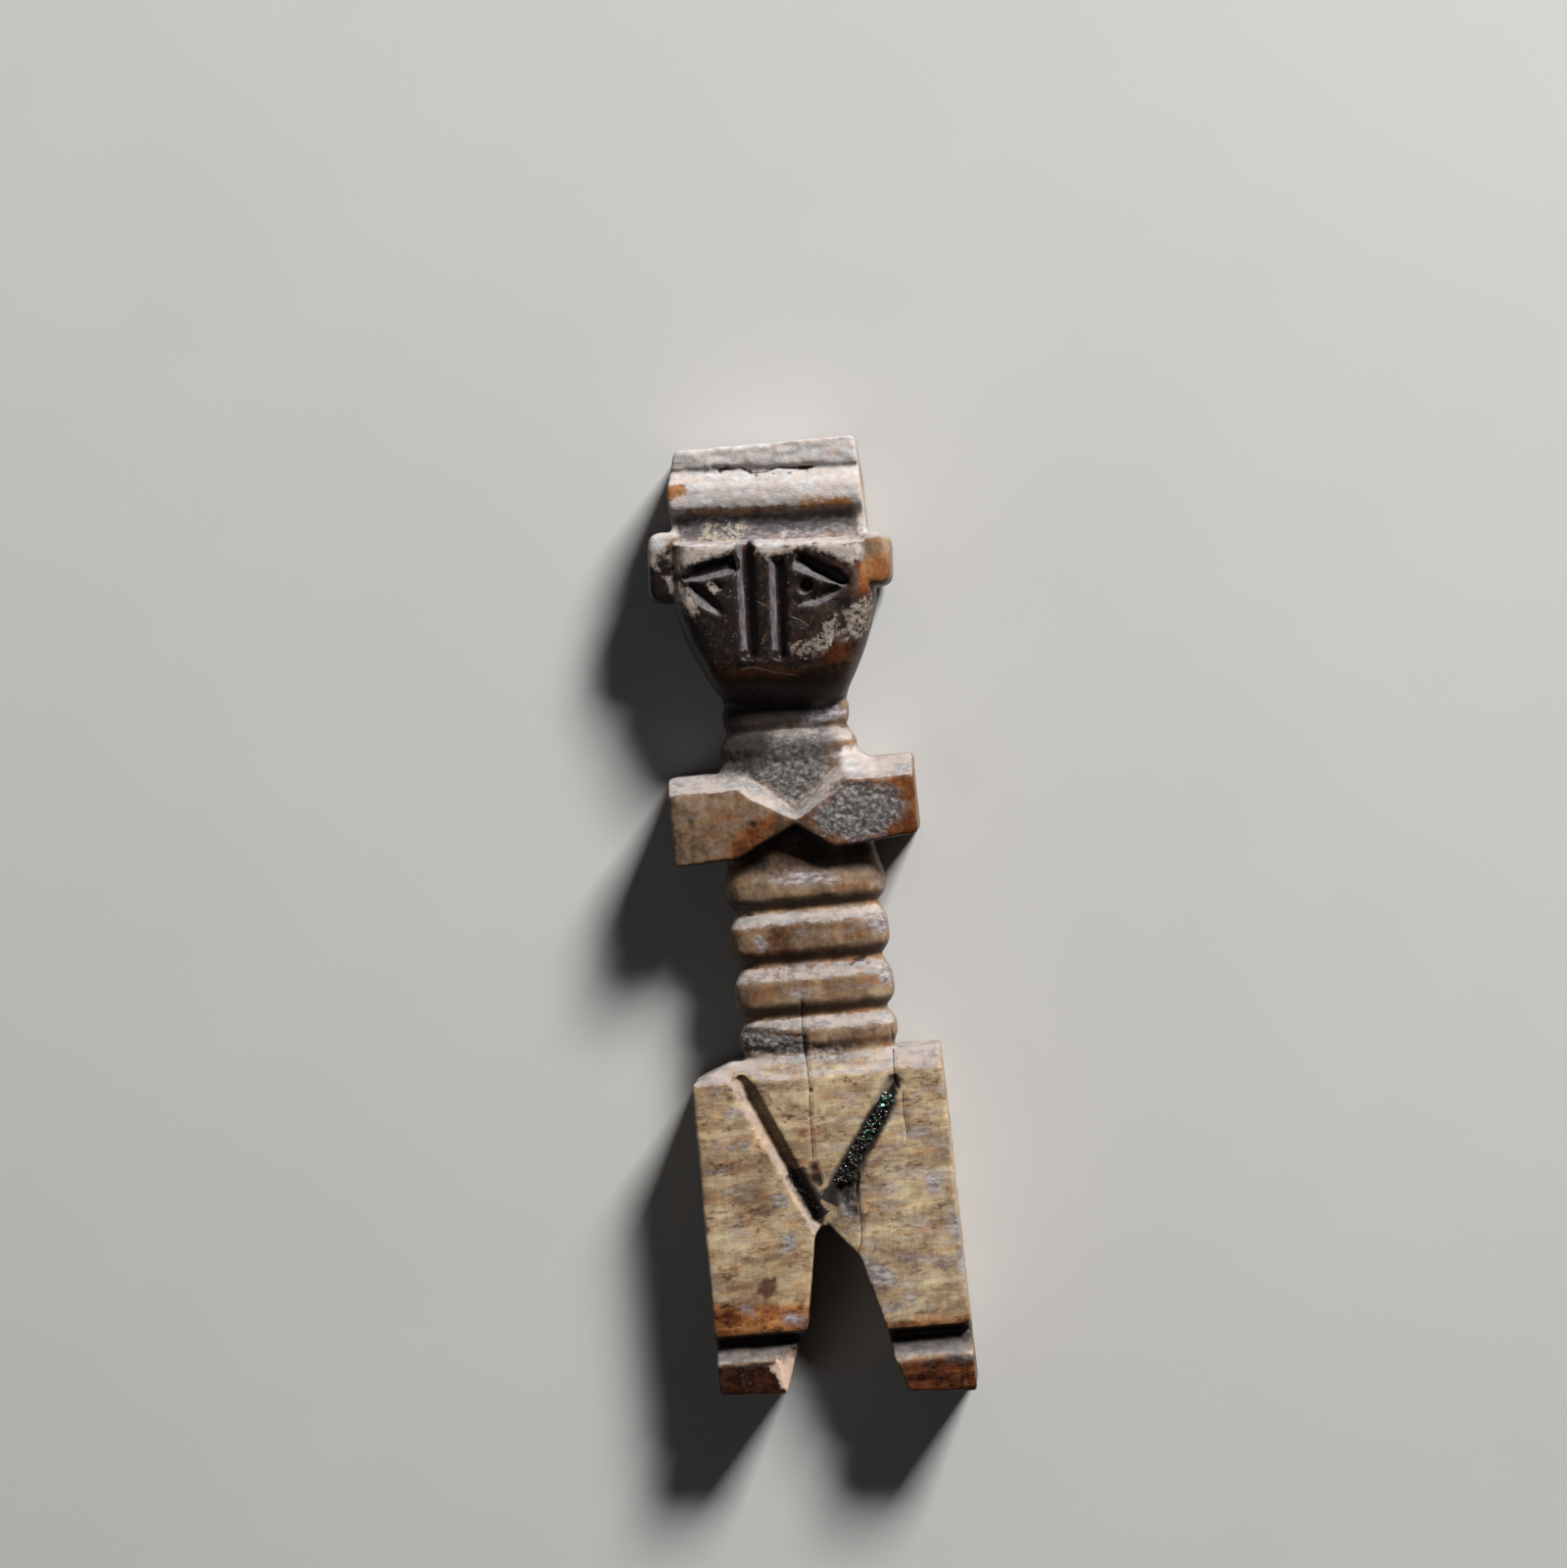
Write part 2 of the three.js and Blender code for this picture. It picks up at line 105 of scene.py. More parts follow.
# Stains, deposits, painted shade and painted shadows, each as outlines of (x, h) on the front
CROWN = [(-12, 101.2), (11, 101.2), (10, 92.6), (2, 92.5), (-4, 92.7), (-12, 92.9), (-12, 95.2), (-9.3, 95.4),
         (-8.9, 96), (-9.4, 96.5), (-12, 96.5)]
CROWN_SIDES = [
    [(-12, 94), (-9.6, 94), (-9.2, 91), (-12, 91)],
    [(8.4, 93.6), (11, 93.6), (11, 89.6), (8.4, 89.8)],
]
CROWN_CREAM = [(-7.8, 92.2), (-5, 92.4), (-2.8, 91.9), (-2.6, 91.2), (-4, 90.4), (-7.3, 90.7)]
CROWN_GREY = [(-9.5, 93.2), (-2, 92.8), (8.6, 92.4), (8.6, 89.6), (1.4, 90), (-9.5, 90.6)]
BROW_LEFT = [(-11.4, 89.4), (-8.4, 90.2), (-3.9, 90), (-4, 89.3), (-5, 88.8), (-8.1, 88.4), (-10.5, 87.2)]
BROW_MIDDLE = [(-1.9, 90), (1.2, 89.8), (1.3, 88.6), (0.4, 88), (-0.8, 88.1), (-1.7, 88.9)]
BROW_RIGHT = [(1.6, 89.8), (5.5, 89.4), (9, 88.9), (9.4, 86), (7.4, 86.8), (5.8, 87.9), (3.4, 88.9),
              (1.9, 88.7)]
CHEEK_LEFT = [(-11.8, 87.2), (-9.9, 86.4), (-8.3, 83.7), (-8.8, 82.6), (-10.6, 84.6)]
CHEEK_RIGHT = [(8.5, 82.8), (9.8, 83.1), (9.9, 81), (8.6, 79.4), (6.9, 78.9), (6.7, 79.6), (7, 81.9)]
CHEEK_INNER = [(4.8, 81), (6.1, 81.5), (6.1, 79.9), (4.6, 78.1), (2.4, 77.7), (1, 78.2), (0.9, 79.1),
               (3.8, 79.2)]
LOBE_LEFT = [(-14, 92.1), (-10.3, 92), (-11.3, 89.8), (-12, 89.4), (-12.3, 88), (-14, 88.3)]
LOBE_RIGHT = [(9.1, 87.2), (11.2, 87.6), (12, 86), (11.4, 84.5), (9.6, 84.6)]
ROLL_LOW = [(-9.2, 94.4), (-6.1, 94.2), (-3, 93.7), (1.5, 93.4), (1.2, 92.4), (-3.3, 92.5), (-9.1, 93.2)]
ROLL_LEFT = [(-10.8, 96.6), (-8.6, 96.6), (-8.8, 95.4), (-10.8, 95.3)]
ROLL_RIGHT = [(3.3, 94.9), (5.7, 95.6), (9.8, 95.2), (8.9, 93.6), (7.9, 91.8), (4.7, 91.7), (2.7, 92.3)]
CHIN = [(-8, 78), (-4.7, 76.9), (-0.6, 76.5), (2.6, 76.2), (2.5, 74.6), (-2, 74.4), (-6.6, 75.6)]
CHEEK_RUSSET = [(5.2, 79.2), (7, 78.6), (7.5, 77.2), (5, 76.2), (3.5, 77.2)]
TEMPLE_RIGHT = [(7.9, 87.4), (9.9, 86.9), (10.4, 83.6), (7.9, 83.4), (8.4, 85.2)]
BREAST_INNER = [(-2.3, 61.8), (-1.7, 61.1), (-2.9, 59.6), (-5.7, 56.6), (-7.3, 56.6), (-7.6, 58.9),
                (-4.6, 60.9)]
BREAST_RIGHT = [(0.8, 61), (4.3, 64.2), (6, 64.5), (13.5, 64.5), (13.5, 58), (4, 57.3)]
LEFT_SHIN = [(-15, 11.4), (-3, 10.4), (-3, 7), (-15, 7)]
RIGHT_SHIN = [(2, 8), (15, 7.9), (15, 6.5), (2, 6.6)]
FEET = [(-15, 4.5), (-4, 4.5), (4, 3.5), (15, 3.5), (15, -2), (-15, -2)]
BREAST_CRUST = [(4.6, 64.1), (7.9, 64), (10.1, 63.6), (11.5, 61.2), (8.5, 58.4), (5.4, 57.9), (2, 59.9),
                (1.7, 61.2)]
CHEST_CRUST = [(-6.6, 69.8), (3, 69.4), (3.9, 65.9), (1.7, 63.4), (-0.3, 61.4), (-2.1, 63.8), (-6.7, 66.4)]
BAND_CRUST = [(-8.8, 39.7), (-5.6, 39.2), (-1, 38.3), (-1.2, 36.1), (-4.5, 36.2), (-8, 37.1)]
BAND_CRUST_RIGHT = [(-0.9, 37.2), (3.3, 36.6), (3.2, 35.7), (-0.6, 35.8)]
FLAKE = [(0.7, 22.4), (2.9, 23.1), (2.6, 19.1), (1.9, 18.8), (0.7, 20.6)]
FOOT_CHIP = [(-8, 4.2), (-6.7, 5.1), (-4.8, 6.4), (-4.4, 5.7), (-5.6, 1.2), (-6.3, 1.3), (-7, 2.5),
             (-7.4, 3.4)]
NECK_RIGHT = [(4.9, 67.6), (8.5, 68.6), (8.5, 64.8), (5.5, 65.2), (4.4, 66.3)]
PLUG = [(-7.1, 85.7), (-6.6, 86.1), (-6, 85.8), (-5.8, 85.2), (-6.3, 84.9), (-6.9, 85.2)]
SCAR = [(-7.9, 13.5), (-6.5, 13.5), (-6.6, 11.9), (-7.7, 11.2), (-8.7, 11.9)]
WOUND = [(-1.8, 25.2), (-1.1, 25.2), (-0.7, 23.6), (-0.9, 22.6), (-1.7, 22.6), (-2, 24)]
SMEARS = [
    [(8, 27.5), (10.9, 27.7), (10.8, 27.1), (8.2, 27)],
    [(9.4, 23.4), (11.6, 23.2), (11.6, 20.8), (10.3, 20.7)],
    [(-11.5, 27.9), (-8, 27.6), (-8, 27), (-11.3, 27.3)],
    [(-6, 22.1), (-4.5, 22), (-4.6, 20.7), (-5.9, 20.8)],
    [(3.8, 9.1), (7.5, 10.6), (7.7, 10), (4.6, 8.6)],
    [(-10.6, 11), (-9, 10.4), (-9.1, 9.8), (-10.5, 10.4)],
    [(-5.7, 9.5), (-3.9, 9.2), (-4, 8.5), (-6, 8.9)],
    [(2, 73), (7, 73), (7, 70.4), (1, 70.4)],
    [(-5.7, 18.1), (-3.8, 17.9), (-4.1, 16.1), (-5.6, 16.2)],
    [(2.6, 15), (5.1, 13.8), (6.4, 12), (5, 11.6), (3, 12.1)],
    [(12.1, 18.8), (13.6, 18.6), (13.6, 12), (13, 11.4), (12.4, 13.4), (12.7, 15.4), (11.8, 17)],
    [(-9.8, 31.4), (-8, 31.2), (-8.2, 30.6), (-10, 30.8)],
    [(-4, 54.7), (0, 55.4), (3.4, 54.7), (4, 54), (0.6, 54), (-2, 54.1)],
    [(-5.6, 49), (-4.8, 49), (-4.6, 47.7), (-5.2, 47.6)],
    [(6.2, 50.2), (8.4, 50.4), (8.4, 48.4), (6.8, 48.2)],
    [(-2.7, 43), (-0.6, 42.9), (-0.5, 42.3), (-2.4, 42.3)],
    [(6.8, 44.8), (8.6, 44.8), (8.6, 42.8), (7.2, 42.6)],
]
# Painted shadows: the jaw's shadow on the neck, the line under the upper neck ring, the upper walls of the
# ankle notches and the corner under the crown's roll
PAINTED_SHADOWS = [
    [(-9, 75.5), (2.6, 75), (2.4, 71), (-2, 69.6), (-3.6, 66), (-9, 66)],
    [(-9, 71), (7, 70.5), (7, 69.9), (-9, 70.2)],
    [(-15, 8), (-3, 8), (-3.6, 5.9), (-15, 5.9)],
    [(3.4, 7.4), (15, 7.4), (15, 5.1), (4.4, 5)],
    [(-10.2, 93.3), (-7, 92.7), (-10.2, 92.3)],
]
# Painted shade on the lower neck band under the jaw, on the upper ankle slopes and in the hollow under the
# crown's roll; the flake at the end is its own darker colour
PAINTED_SHADE_AND_STAIN = [
    [(-7.5, 70), (4.9, 69), (4.9, 66.8), (2.5, 66.4), (-7.5, 67)],
    [(-15, 7), (-4, 7), (-4, 4.9), (-15, 4.9)],
    [(4, 6.4), (15, 6.4), (15, 4.1), (4, 4.1)],
    [(-9.6, 92.6), (-8.4, 92.9), (-2.6, 92.5), (-2, 91), (-3.4, 90.2), (-9.6, 90.8)],
    [(-2, 92.7), (8.6, 92.3), (8.6, 90.4), (-2, 90.8)],
    FLAKE,
]
LID_LEFT = [(-9.1, 87), (-8.3, 87.9), (-6.2, 88.3), (-4.3, 88.6), (-4.2, 87.8), (-5.9, 87.7), (-7.7, 87.3)]
LID_RIGHT = [(2.5, 88.3), (3.6, 87.9), (5.1, 86.8), (6.5, 86.4), (7.1, 85.5), (7.5, 84.7), (6.5, 84.7),
             (5, 85.7), (3.8, 86.4), (2.9, 87.4)]
NOSE_TOP = [(-2.7, 90), (-2.2, 90.1), (-1.7, 88.9), (-2.5, 88.7)]
STAINS = {
    "chalk": [CROWN, *CROWN_SIDES, BROW_LEFT, BROW_MIDDLE, BROW_RIGHT, CHEEK_LEFT, LOBE_LEFT, NECK_RIGHT],
    "scab": [CHEEK_RIGHT, CHEEK_INNER, CROWN_CREAM, PLUG],
    "chip": [FOOT_CHIP],
    "amber": [LOBE_RIGHT, ROLL_LOW, ROLL_LEFT, ROLL_RIGHT, CHIN, CHEEK_RUSSET, TEMPLE_RIGHT, BREAST_INNER,
              BREAST_RIGHT, LEFT_SHIN, RIGHT_SHIN, FEET],
    "crust": [BREAST_CRUST, CHEST_CRUST, BAND_CRUST, BAND_CRUST_RIGHT, FLAKE],
    "smear": [*SMEARS, CROWN_GREY],
    "scar": [SCAR, WOUND],
    # painted shadows, painted shade (the last with the flake's own darker colour) and painted shadow in the
    # face's cuts
    "painted_shadow": PAINTED_SHADOWS,
    "shade": PAINTED_SHADE_AND_STAIN,
    "cut_shadow": [LID_LEFT, LID_RIGHT, NOSE_TOP],
}

# How many millimetres each stain draws in for each one behind the front, how fast slopes lose their chalk
# there, and how far the outlines sway, with noise as (share, size of its blobs, seed)
SIDE_FADE = {
    "chalk": 0.22, "scab": 0.3, "chip": 0.3, "amber": 0.2, "crust": 0.8,
    "smear": 0.9, "scar": 1.0, "painted_shadow": 0.25, "shade": 0.1, "cut_shadow": 1.0,
}
SLOPE_FADE = 0.1
SIDE_SWAY = 1.6
FULL_SWAY = 4.0
SWAY_ACROSS = [(1.0, 2.4, 21), (0.5, 1.0, 22)]
SWAY_UPWARD = [(1.0, 2.4, 23), (0.5, 1.0, 24)]

# How far from its edge a stain is still told apart, and the same for a thin line
STAIN_REACH = 3.0
LINE_REACH = 0.8

# How dark the bone is, from 0 for pale cream to 1 for dark brown, and places with an outline of (x, h), a
# tone and the width of their soft edge
LEG_TONE = 0.36
TORSO_TONE = 0.55
TORSO_START = 36.0
TORSO_EDGE = 1.0
# Painted shade: the bone's tone grows darker towards the left, away from the key light, by this much for each
# millimetre of x
LEFTWARD_PAINTED_SHADE = 0.005
TONES = [
    ([(-15, 12), (-3, 11), (-3, 7.2), (-15, 7.2)], 0.56, 3.0),
    ([(2, 9.4), (15, 9), (15, 6.6), (2, 6.6)], 0.46, 2.0),
    ([(-15, 4.7), (-4, 4.7), (4, 3.7), (15, 3.7), (15, -2), (-15, -2)], 0.9, 0.3),
    ([(-4.2, 51), (0.7, 51), (0.5, 46), (-5, 46)], 0.68, 1.0),
    # painted shade under the breasts, where their shadow falls
    ([(-8, 61), (8, 61), (8, 56.5), (0, 55.5), (-8, 56)], 0.8, 1.2),
    ([(-14, 65), (-5, 65), (-0.5, 61), (-6.6, 57), (-14, 56.5)], 0.66, 0.6),
    ([(-12, 64.4), (-5.6, 64), (-3.4, 62), (-5.6, 60.2), (-9.6, 61)], 0.5, 1.2),
    ([(0.5, 61), (4.3, 64.5), (13, 64.5), (13, 57.5), (3.6, 57.5)], 0.74, 0.6),
    ([(-9, 74.5), (8, 74), (8, 70), (1.5, 70), (-9, 70.5)], 0.7, 1.2),
    ([(-14, 90.2), (13, 88.6), (13, 84), (9.5, 77), (6, 73), (-6, 73), (-10, 78), (-14, 84)], 1.0, 0.8),
    ([(-7, 77.6), (2, 76.6), (2, 74.8), (-6, 75.6)], 0.88, 1.0),
    ([(5.2, 79.4), (7.4, 78.8), (7.6, 77), (4.6, 76.2), (3.2, 77.2)], 0.88, 0.8),
    (TEMPLE_RIGHT, 0.8, 0.7),
    ([(9, 91), (13.5, 91), (13.5, 83.5), (10.6, 83.5), (8.8, 85)], 0.5, 0.7),
    ([(-10, 93.2), (9, 92.4), (9, 89.8), (-10, 90.6)], 0.68, 0.6),
    ([(-11, 96.4), (10, 95.6), (10, 92.8), (-11, 93.4)], 0.3, 0.4),
]

# Relief of the surface: noise as (depth, size of its blobs, seed), levels of deposits, and sunk outlines
UNEVENNESS = [(0.10, 6.0, 1), (0.05, 2.0, 2), (0.02, 0.7, 3)]
LEG_ROWS = (0.07, (4.0, 0.8, 4.0), 4)
DEPOSIT_RELIEF = {
    "crust": (-0.12, [(0.12, 0.42, 5), (0.07, 0.9, 6)]),
    "chalk": (0.02, [(0.05, 0.6, 7)]),
    "scab": (0.08, [(0.1, 0.5, 8)]),
    "scar": (0.0, [(0.05, 0.5, 9)]),
}
DEPOSIT_EDGE = 0.3
TOP_BAND_START = (97.2, 98.0)
TOP_BAND_RELIEF = [(0.09, (2.4, 0.5, 2.4), 11), (0.06, 0.6, 12)]
SUNK = [(FLAKE, 0.3), (BAND_CRUST, 0.15), (SCAR, 0.1), (LID_LEFT, 0.6), (LID_RIGHT, 0.5)]
SUNK_EDGE = (-0.1, 0.3)

# Cracks, scratches and dark soil in the grooves, as lines of (x, h), and how far the soil lies from its lines
CRACKS = [
    [(-1.3, 41.9), (-1.4, 40.1), (-1.5, 37.9), (-1.3, 35.2), (-1.2, 33.1), (-1.4, 30.8), (-1.5, 25.5)],
    [(7.8, 38.2), (7.8, 36.7), (7.7, 34.4), (7.7, 32.9), (7.9, 32.1)],
    [(2.9, 23.5), (2.7, 21.8), (2.9, 20), (2.9, 17.8), (2.7, 16.2), (2.2, 15.2)],
    [(8.4, 31.5), (8.3, 29.3), (8.5, 27.7), (8.4, 26.8)],
    [(-5.6, 98), (-3.6, 97.6), (-2.6, 97.7), (-1.7, 97), (-0.2, 97), (1.2, 97.4), (2.7, 97.2), (4.7, 97.1)],
]
CRACK_SINK = 0.18
CRACK_WIDTH = 0.18
SCRATCHES = [
    [(-2.1, 83.7), (-1.3, 83.2)],
    [(1.1, 81.9), (2.1, 81.4), (2.9, 80.8)],
    [(-4.5, 76.9), (-2.9, 76.9), (-1, 76.2), (1.2, 75.7)],
]
SOIL_LINES = [
    [(7.8, 32.6), (5.8, 29.6), (4.4, 27.5), (3, 25.6), (1.8, 23.8), (1, 22.5), (-0.3, 20.8)],
    [(-3.5, 24.4), (-2.3, 21.8), (-1, 19.4)],
]
SOIL_REACH = 1.15
SOIL_TAPER = 0.8
TAPER_HEIGHTS = (29.5, 32.5)

# Cuts whose walls facing the key light carry a grey film, real but laid only on the lit side, so partly
# painted light, and whose other walls get painted shadow, as lines with their half width
FACE_CUTS = [
    [(-9.7, 86.7), (-4.1, 87.7)],
    [(-9.7, 86.7), (-5.5, 82.4)],
    [(7.4, 84.7), (2.2, 87.8)],
    [(7.4, 84.7), (1.7, 82.8)],
    [(-2.95, 91), (-3.35, 78.7)],
    [(0.3, 88.1), (-0.2, 78.5)],
]
GROIN_CUTS = [
    [(-8.6, 34.6), (-1.2, 18)],
    [(7.9, 33.3), (-0.9, 18.3)],
]
CUTS = [(FACE_CUTS, 0.85), (GROIN_CUTS, 1.1)]

# Pits along lines and single pits as (x, h, radius), and the lump that fills the left pupil
PITTED_LINES = [
    [(-5.8, 97.8), (-3.7, 97.5), (-0.9, 97), (2.5, 97), (4.8, 97.1)],
    [(-8.2, 51.5), (-5.2, 51.3)],
    [(8.2, 45.7), (3, 45.4)],
]
PIT_REACH = 0.5
PIT_SINK = 0.12
PIT_SIZE = (0.6, 0.4, 0.6)
PIT_SEED = 10
PIT_NOISE = (0.15, 0.5)
PIT_WALL = (0.5, 1.1)
PITS = [(-1.45, 24.5, 0.45), (-1.35, 23.4, 0.65), (-1.05, 22.9, 0.4), (-1.1, 32.6, 0.3), (-4.6, 60.7, 0.4),
        (3.05, 84.85, 1.05)]
PUPIL_PLUG = (-6.5, 85.55, 10.2)
PLUG_RADIUS = 0.62

# The band round the lower face and the upper end of the right groove, which are worn round
JAW_RIM = [(-12, 82), (-8.4, 82), (-7.2, 79.4), (-5, 77.2), (4, 76.9), (6.6, 78.9), (8, 81.6), (12, 81.4),
           (12, 72.6), (-12, 72.6)]
GROOVE_END = [(6.9, 33.6), (8, 34.4), (9.4, 33.8), (9.2, 32.2), (8.2, 31.3), (6.6, 32)]
WORN_EDGE = (-0.4, 0.8)

# Dark crumbs caught in the grooves of the groin: line of (x, h), how far they lie off it, and their number
CRUMB_LINES = [
    ([(6.9, 31.4), (5.7, 29.5), (4.4, 27.6), (3, 25.7), (1.9, 24), (1.1, 22.7)], 0.7, 400),
    ([(-4.1, 24.6), (-2.9, 22.2), (-1.6, 20)], 0.4, 90),
]
CRUMB_SEED = 5
CRUMB_SIZES = (0.09, 0.23)
CRUMB_CORNERS = (0.65, 1.25)
CRUMB_LIFT = 0.3
ABOVE_ALL = 20.0
LIGHTEST_GREY = 0.8
GREY_POWER = 1.7
GREEN_START = 26.5
GREEN_SHARE = 0.04
GREEN_CRUMBS = [(6.3, 31, 0.42), (6, 30.3, 0.45), (4.5, 28.5, 0.28), (4, 27.7, 0.24), (5.2, 29.1, 0.22)]

# For drawn outlines and lines: next to nothing, a far distance, and how soon a line fades past its end
TINY = 1e-9
FAR = 9.0
LINE_END = 0.3

# Large numbers that scramble a place and a seed into a random value
CELL_FACTORS = np.array([73856093, 19349663, 83492791], np.int64)
SEED_FACTOR = 2654435761
MIX_FACTORS = (2246822519, 3266489917)
WORD = 0xFFFFFFFF
HALF_WORD = 0x7FFFFFFF

# How far each seed moves the noise of a material
SEED_STEPS = (7.3, 3.1, 5.7)


# Noise and drawn outlines

def soft_step(low, high, values):
    """Rises smoothly from 0 at low to 1 at high."""
    share = np.clip((values - low) / (high - low), 0.0, 1.0)
    return share * share * (3.0 - 2.0 * share)


def lattice(cells, seed):
    """A repeatable value from -1 to 1 for each whole-number cell."""
    first, second = MIX_FACTORS
    mixed = (cells @ CELL_FACTORS + seed * SEED_FACTOR) & WORD
    mixed = ((mixed ^ (mixed >> 15)) * first) & WORD
    mixed = ((mixed ^ (mixed >> 13)) * second) & WORD
    mixed = mixed ^ (mixed >> 16)
    return mixed / HALF_WORD - 1.0


def noise(points, size, seed):
    """Smooth noise from -1 to 1 with blobs of about this size, one number or one for each axis."""
    scaled = points / np.asarray(size, float)
    base = np.floor(scaled).astype(np.int64)
    part = scaled - base
    weight = part * part * (3.0 - 2.0 * part)
    value = np.zeros(len(points))
    for corner in itertools.product((0, 1), repeat=3):
        share = np.prod(np.where(corner, weight, 1.0 - weight), axis=1)
        value += share * lattice(base + np.array(corner), seed)
    return value


def bumps(points, layers):
    """The sum of layers of noise, each given by its depth, the size of its blobs and its seed."""
    return sum(depth * noise(points, size, seed) for depth, size, seed in layers)


def inside_depth(plane, corners):
    """Distance in from the edge of a drawn outline, negative outside it."""
    corners = np.array(corners, float)
    distance = np.full(len(plane), np.inf)
    inside = np.zeros(len(plane), bool)
    for start, end in zip(corners, np.roll(corners, -1, axis=0)):
        edge = end - start
        along = np.clip(((plane - start) @ edge) / (edge @ edge), 0.0, 1.0)
        gap = plane - start - along[:, None] * edge
        distance = np.minimum(distance, np.hypot(gap[:, 0], gap[:, 1]))
        rise = edge[1] if abs(edge[1]) > TINY else TINY
        crosses = (start[1] > plane[:, 1]) != (end[1] > plane[:, 1])
        inside ^= crosses & (plane[:, 0] < start[0] + (plane[:, 1] - start[1]) * edge[0] / rise)
    return np.where(inside, distance, -distance)


def deepest(plane, outlines):
    """The greatest inside depth in any of these outlines."""
    return np.max([inside_depth(plane, outline) for outline in outlines], axis=0)


def nearest_line(plane, lines):
    """Signed distance to the nearest drawn line, and 1 beside the line falling to 0 past its ends."""
    nearest = np.full(len(plane), FAR)
    side = np.ones(len(plane))
    beside = np.zeros(len(plane))
    for line in lines:
        line = np.array(line, float)
        last = len(line) - 2
        for place, (start, end) in enumerate(zip(line[:-1], line[1:])):
            edge = end - start
            along = ((plane - start) @ edge) / (edge @ edge)
            overshoot = np.zeros(len(plane))
            if place == 0:
                overshoot = np.maximum(overshoot, -along)
            if place == last:
                overshoot = np.maximum(overshoot, along - 1.0)
            gap = plane - start - np.clip(along, 0.0, 1.0)[:, None] * edge
            distance = np.hypot(gap[:, 0], gap[:, 1])
            closer = distance < nearest
            nearest[closer] = distance[closer]
            side[closer] = np.sign(edge[0] * gap[closer, 1] - edge[1] * gap[closer, 0])
            beside[closer] = 1.0 - soft_step(0.0, LINE_END, overshoot[closer] * np.linalg.norm(edge))
    return nearest * side, beside


def line_gap(plane, lines):
    """Distance to the nearest drawn line, which grows fast past the line's ends."""
    offset, beside = nearest_line(plane, lines)
    return np.abs(offset) + STAIN_REACH * (1.0 - beside)


# The carved bone and its crumbs

def in_scene(x, height, depth):
    """A place on the figure, in the scene's metres."""
    return Vector((x, height - FIGURE_MIDDLE, depth)) * MM


def new_object(name, data):
    """A new object in the scene, with this mesh, lamp or camera."""
    made = bpy.data.objects.new(name, data)
    bpy.context.scene.collection.objects.link(made)
    return made


def figure_points(mesh):
    """The mesh's vertices as x, h and z in millimetres."""
    flat = np.zeros(len(mesh.vertices) * 3, np.float32)
    mesh.vertices.foreach_get("co", flat)
    points = flat.reshape(-1, 3).astype(float) / MM
    points[:, 1] += FIGURE_MIDDLE
    return points


def put_points(mesh, points):
    """Moves the mesh's vertices to these places, kept inside the solid's own box."""
    placed = points.copy()
    placed[:, 1] -= FIGURE_MIDDLE
    placed = np.clip(placed * MM, np.array(cad_low), np.array(cad_high))
    mesh.vertices.foreach_set("co", placed.astype(np.float32).ravel())
    mesh.update()


def surface_normals(mesh):
    """The normal at each of the mesh's vertices."""
    flat = np.zeros(len(mesh.vertices) * 3, np.float32)
    mesh.vertex_normals.foreach_get("vector", flat)
    return flat.reshape(-1, 3).astype(float)


def edge_ends(mesh):
    """The numbers of the two vertices of each of the mesh's edges."""
    flat = np.zeros(len(mesh.edges) * 2, np.int32)
    mesh.edges.foreach_get("vertices", flat)
    return flat.reshape(-1, 2)


def eased(points, ends, rounds):
    """The points after each has moved part of the way to its neighbours' mean, this many times."""
    count = len(points)
    first, second = ends[:, 0], ends[:, 1]
    neighbours = np.bincount(ends.ravel(), minlength=count)
    eased_points = points.copy()
    for _ in range(rounds):
        for axis in range(3):
            values = eased_points[:, axis]
            around = np.bincount(first, values[second], count) + np.bincount(second, values[first], count)
            eased_points[:, axis] = values + EASE_SHARE * (around / neighbours - values)
    return eased_points


def with_modifier(piece, kind, **settings):
    """The piece's mesh after one modifier, which isn't left on the piece."""
    modifier = piece.modifiers.new(kind.lower(), kind)
    for name, value in settings.items():
        setattr(modifier, name, value)
    shown = piece.evaluated_get(bpy.context.evaluated_depsgraph_get())
    mesh = bpy.data.meshes.new_from_object(shown)
    piece.modifiers.remove(modifier)
    return mesh


def torso_share(height):
    """From 0 on the legs to 1 above the hips."""
    return soft_step(-TORSO_EDGE, TORSO_EDGE, height - TORSO_START)


def relief(points, normals):
    """How far each point stands out along its normal, in millimetres."""
    plane = points[:, :2]
    height = points[:, 1]
    front = soft_step(*FRONT_NORMALS, normals[:, 2])
    out = bumps(points, UNEVENNESS)
    row_depth, row_size, row_seed = LEG_ROWS
    legs = 1.0 - torso_share(height)
    out -= row_depth * legs * np.maximum(0.0, noise(points, row_size, row_seed))
    for name, (level, layers) in DEPOSIT_RELIEF.items():
        cover = soft_step(-DEPOSIT_EDGE, DEPOSIT_EDGE, deepest(plane, STAINS[name])) * front
        out += cover * (bumps(points, layers) + level)
    top_band = soft_step(*TOP_BAND_START, height) * front
    out += top_band * bumps(points, TOP_BAND_RELIEF)
    for outline, sink in SUNK:
        out -= sink * soft_step(*SUNK_EDGE, inside_depth(plane, outline)) * front
    offset, beside = nearest_line(plane, CRACKS)
    out -= CRACK_SINK * np.exp(-np.square(offset / CRACK_WIDTH)) * beside * front
    out -= PIT_SINK * pitting(points) * front
    return out * soft_step(*BACK_EDGE, points[:, 2])


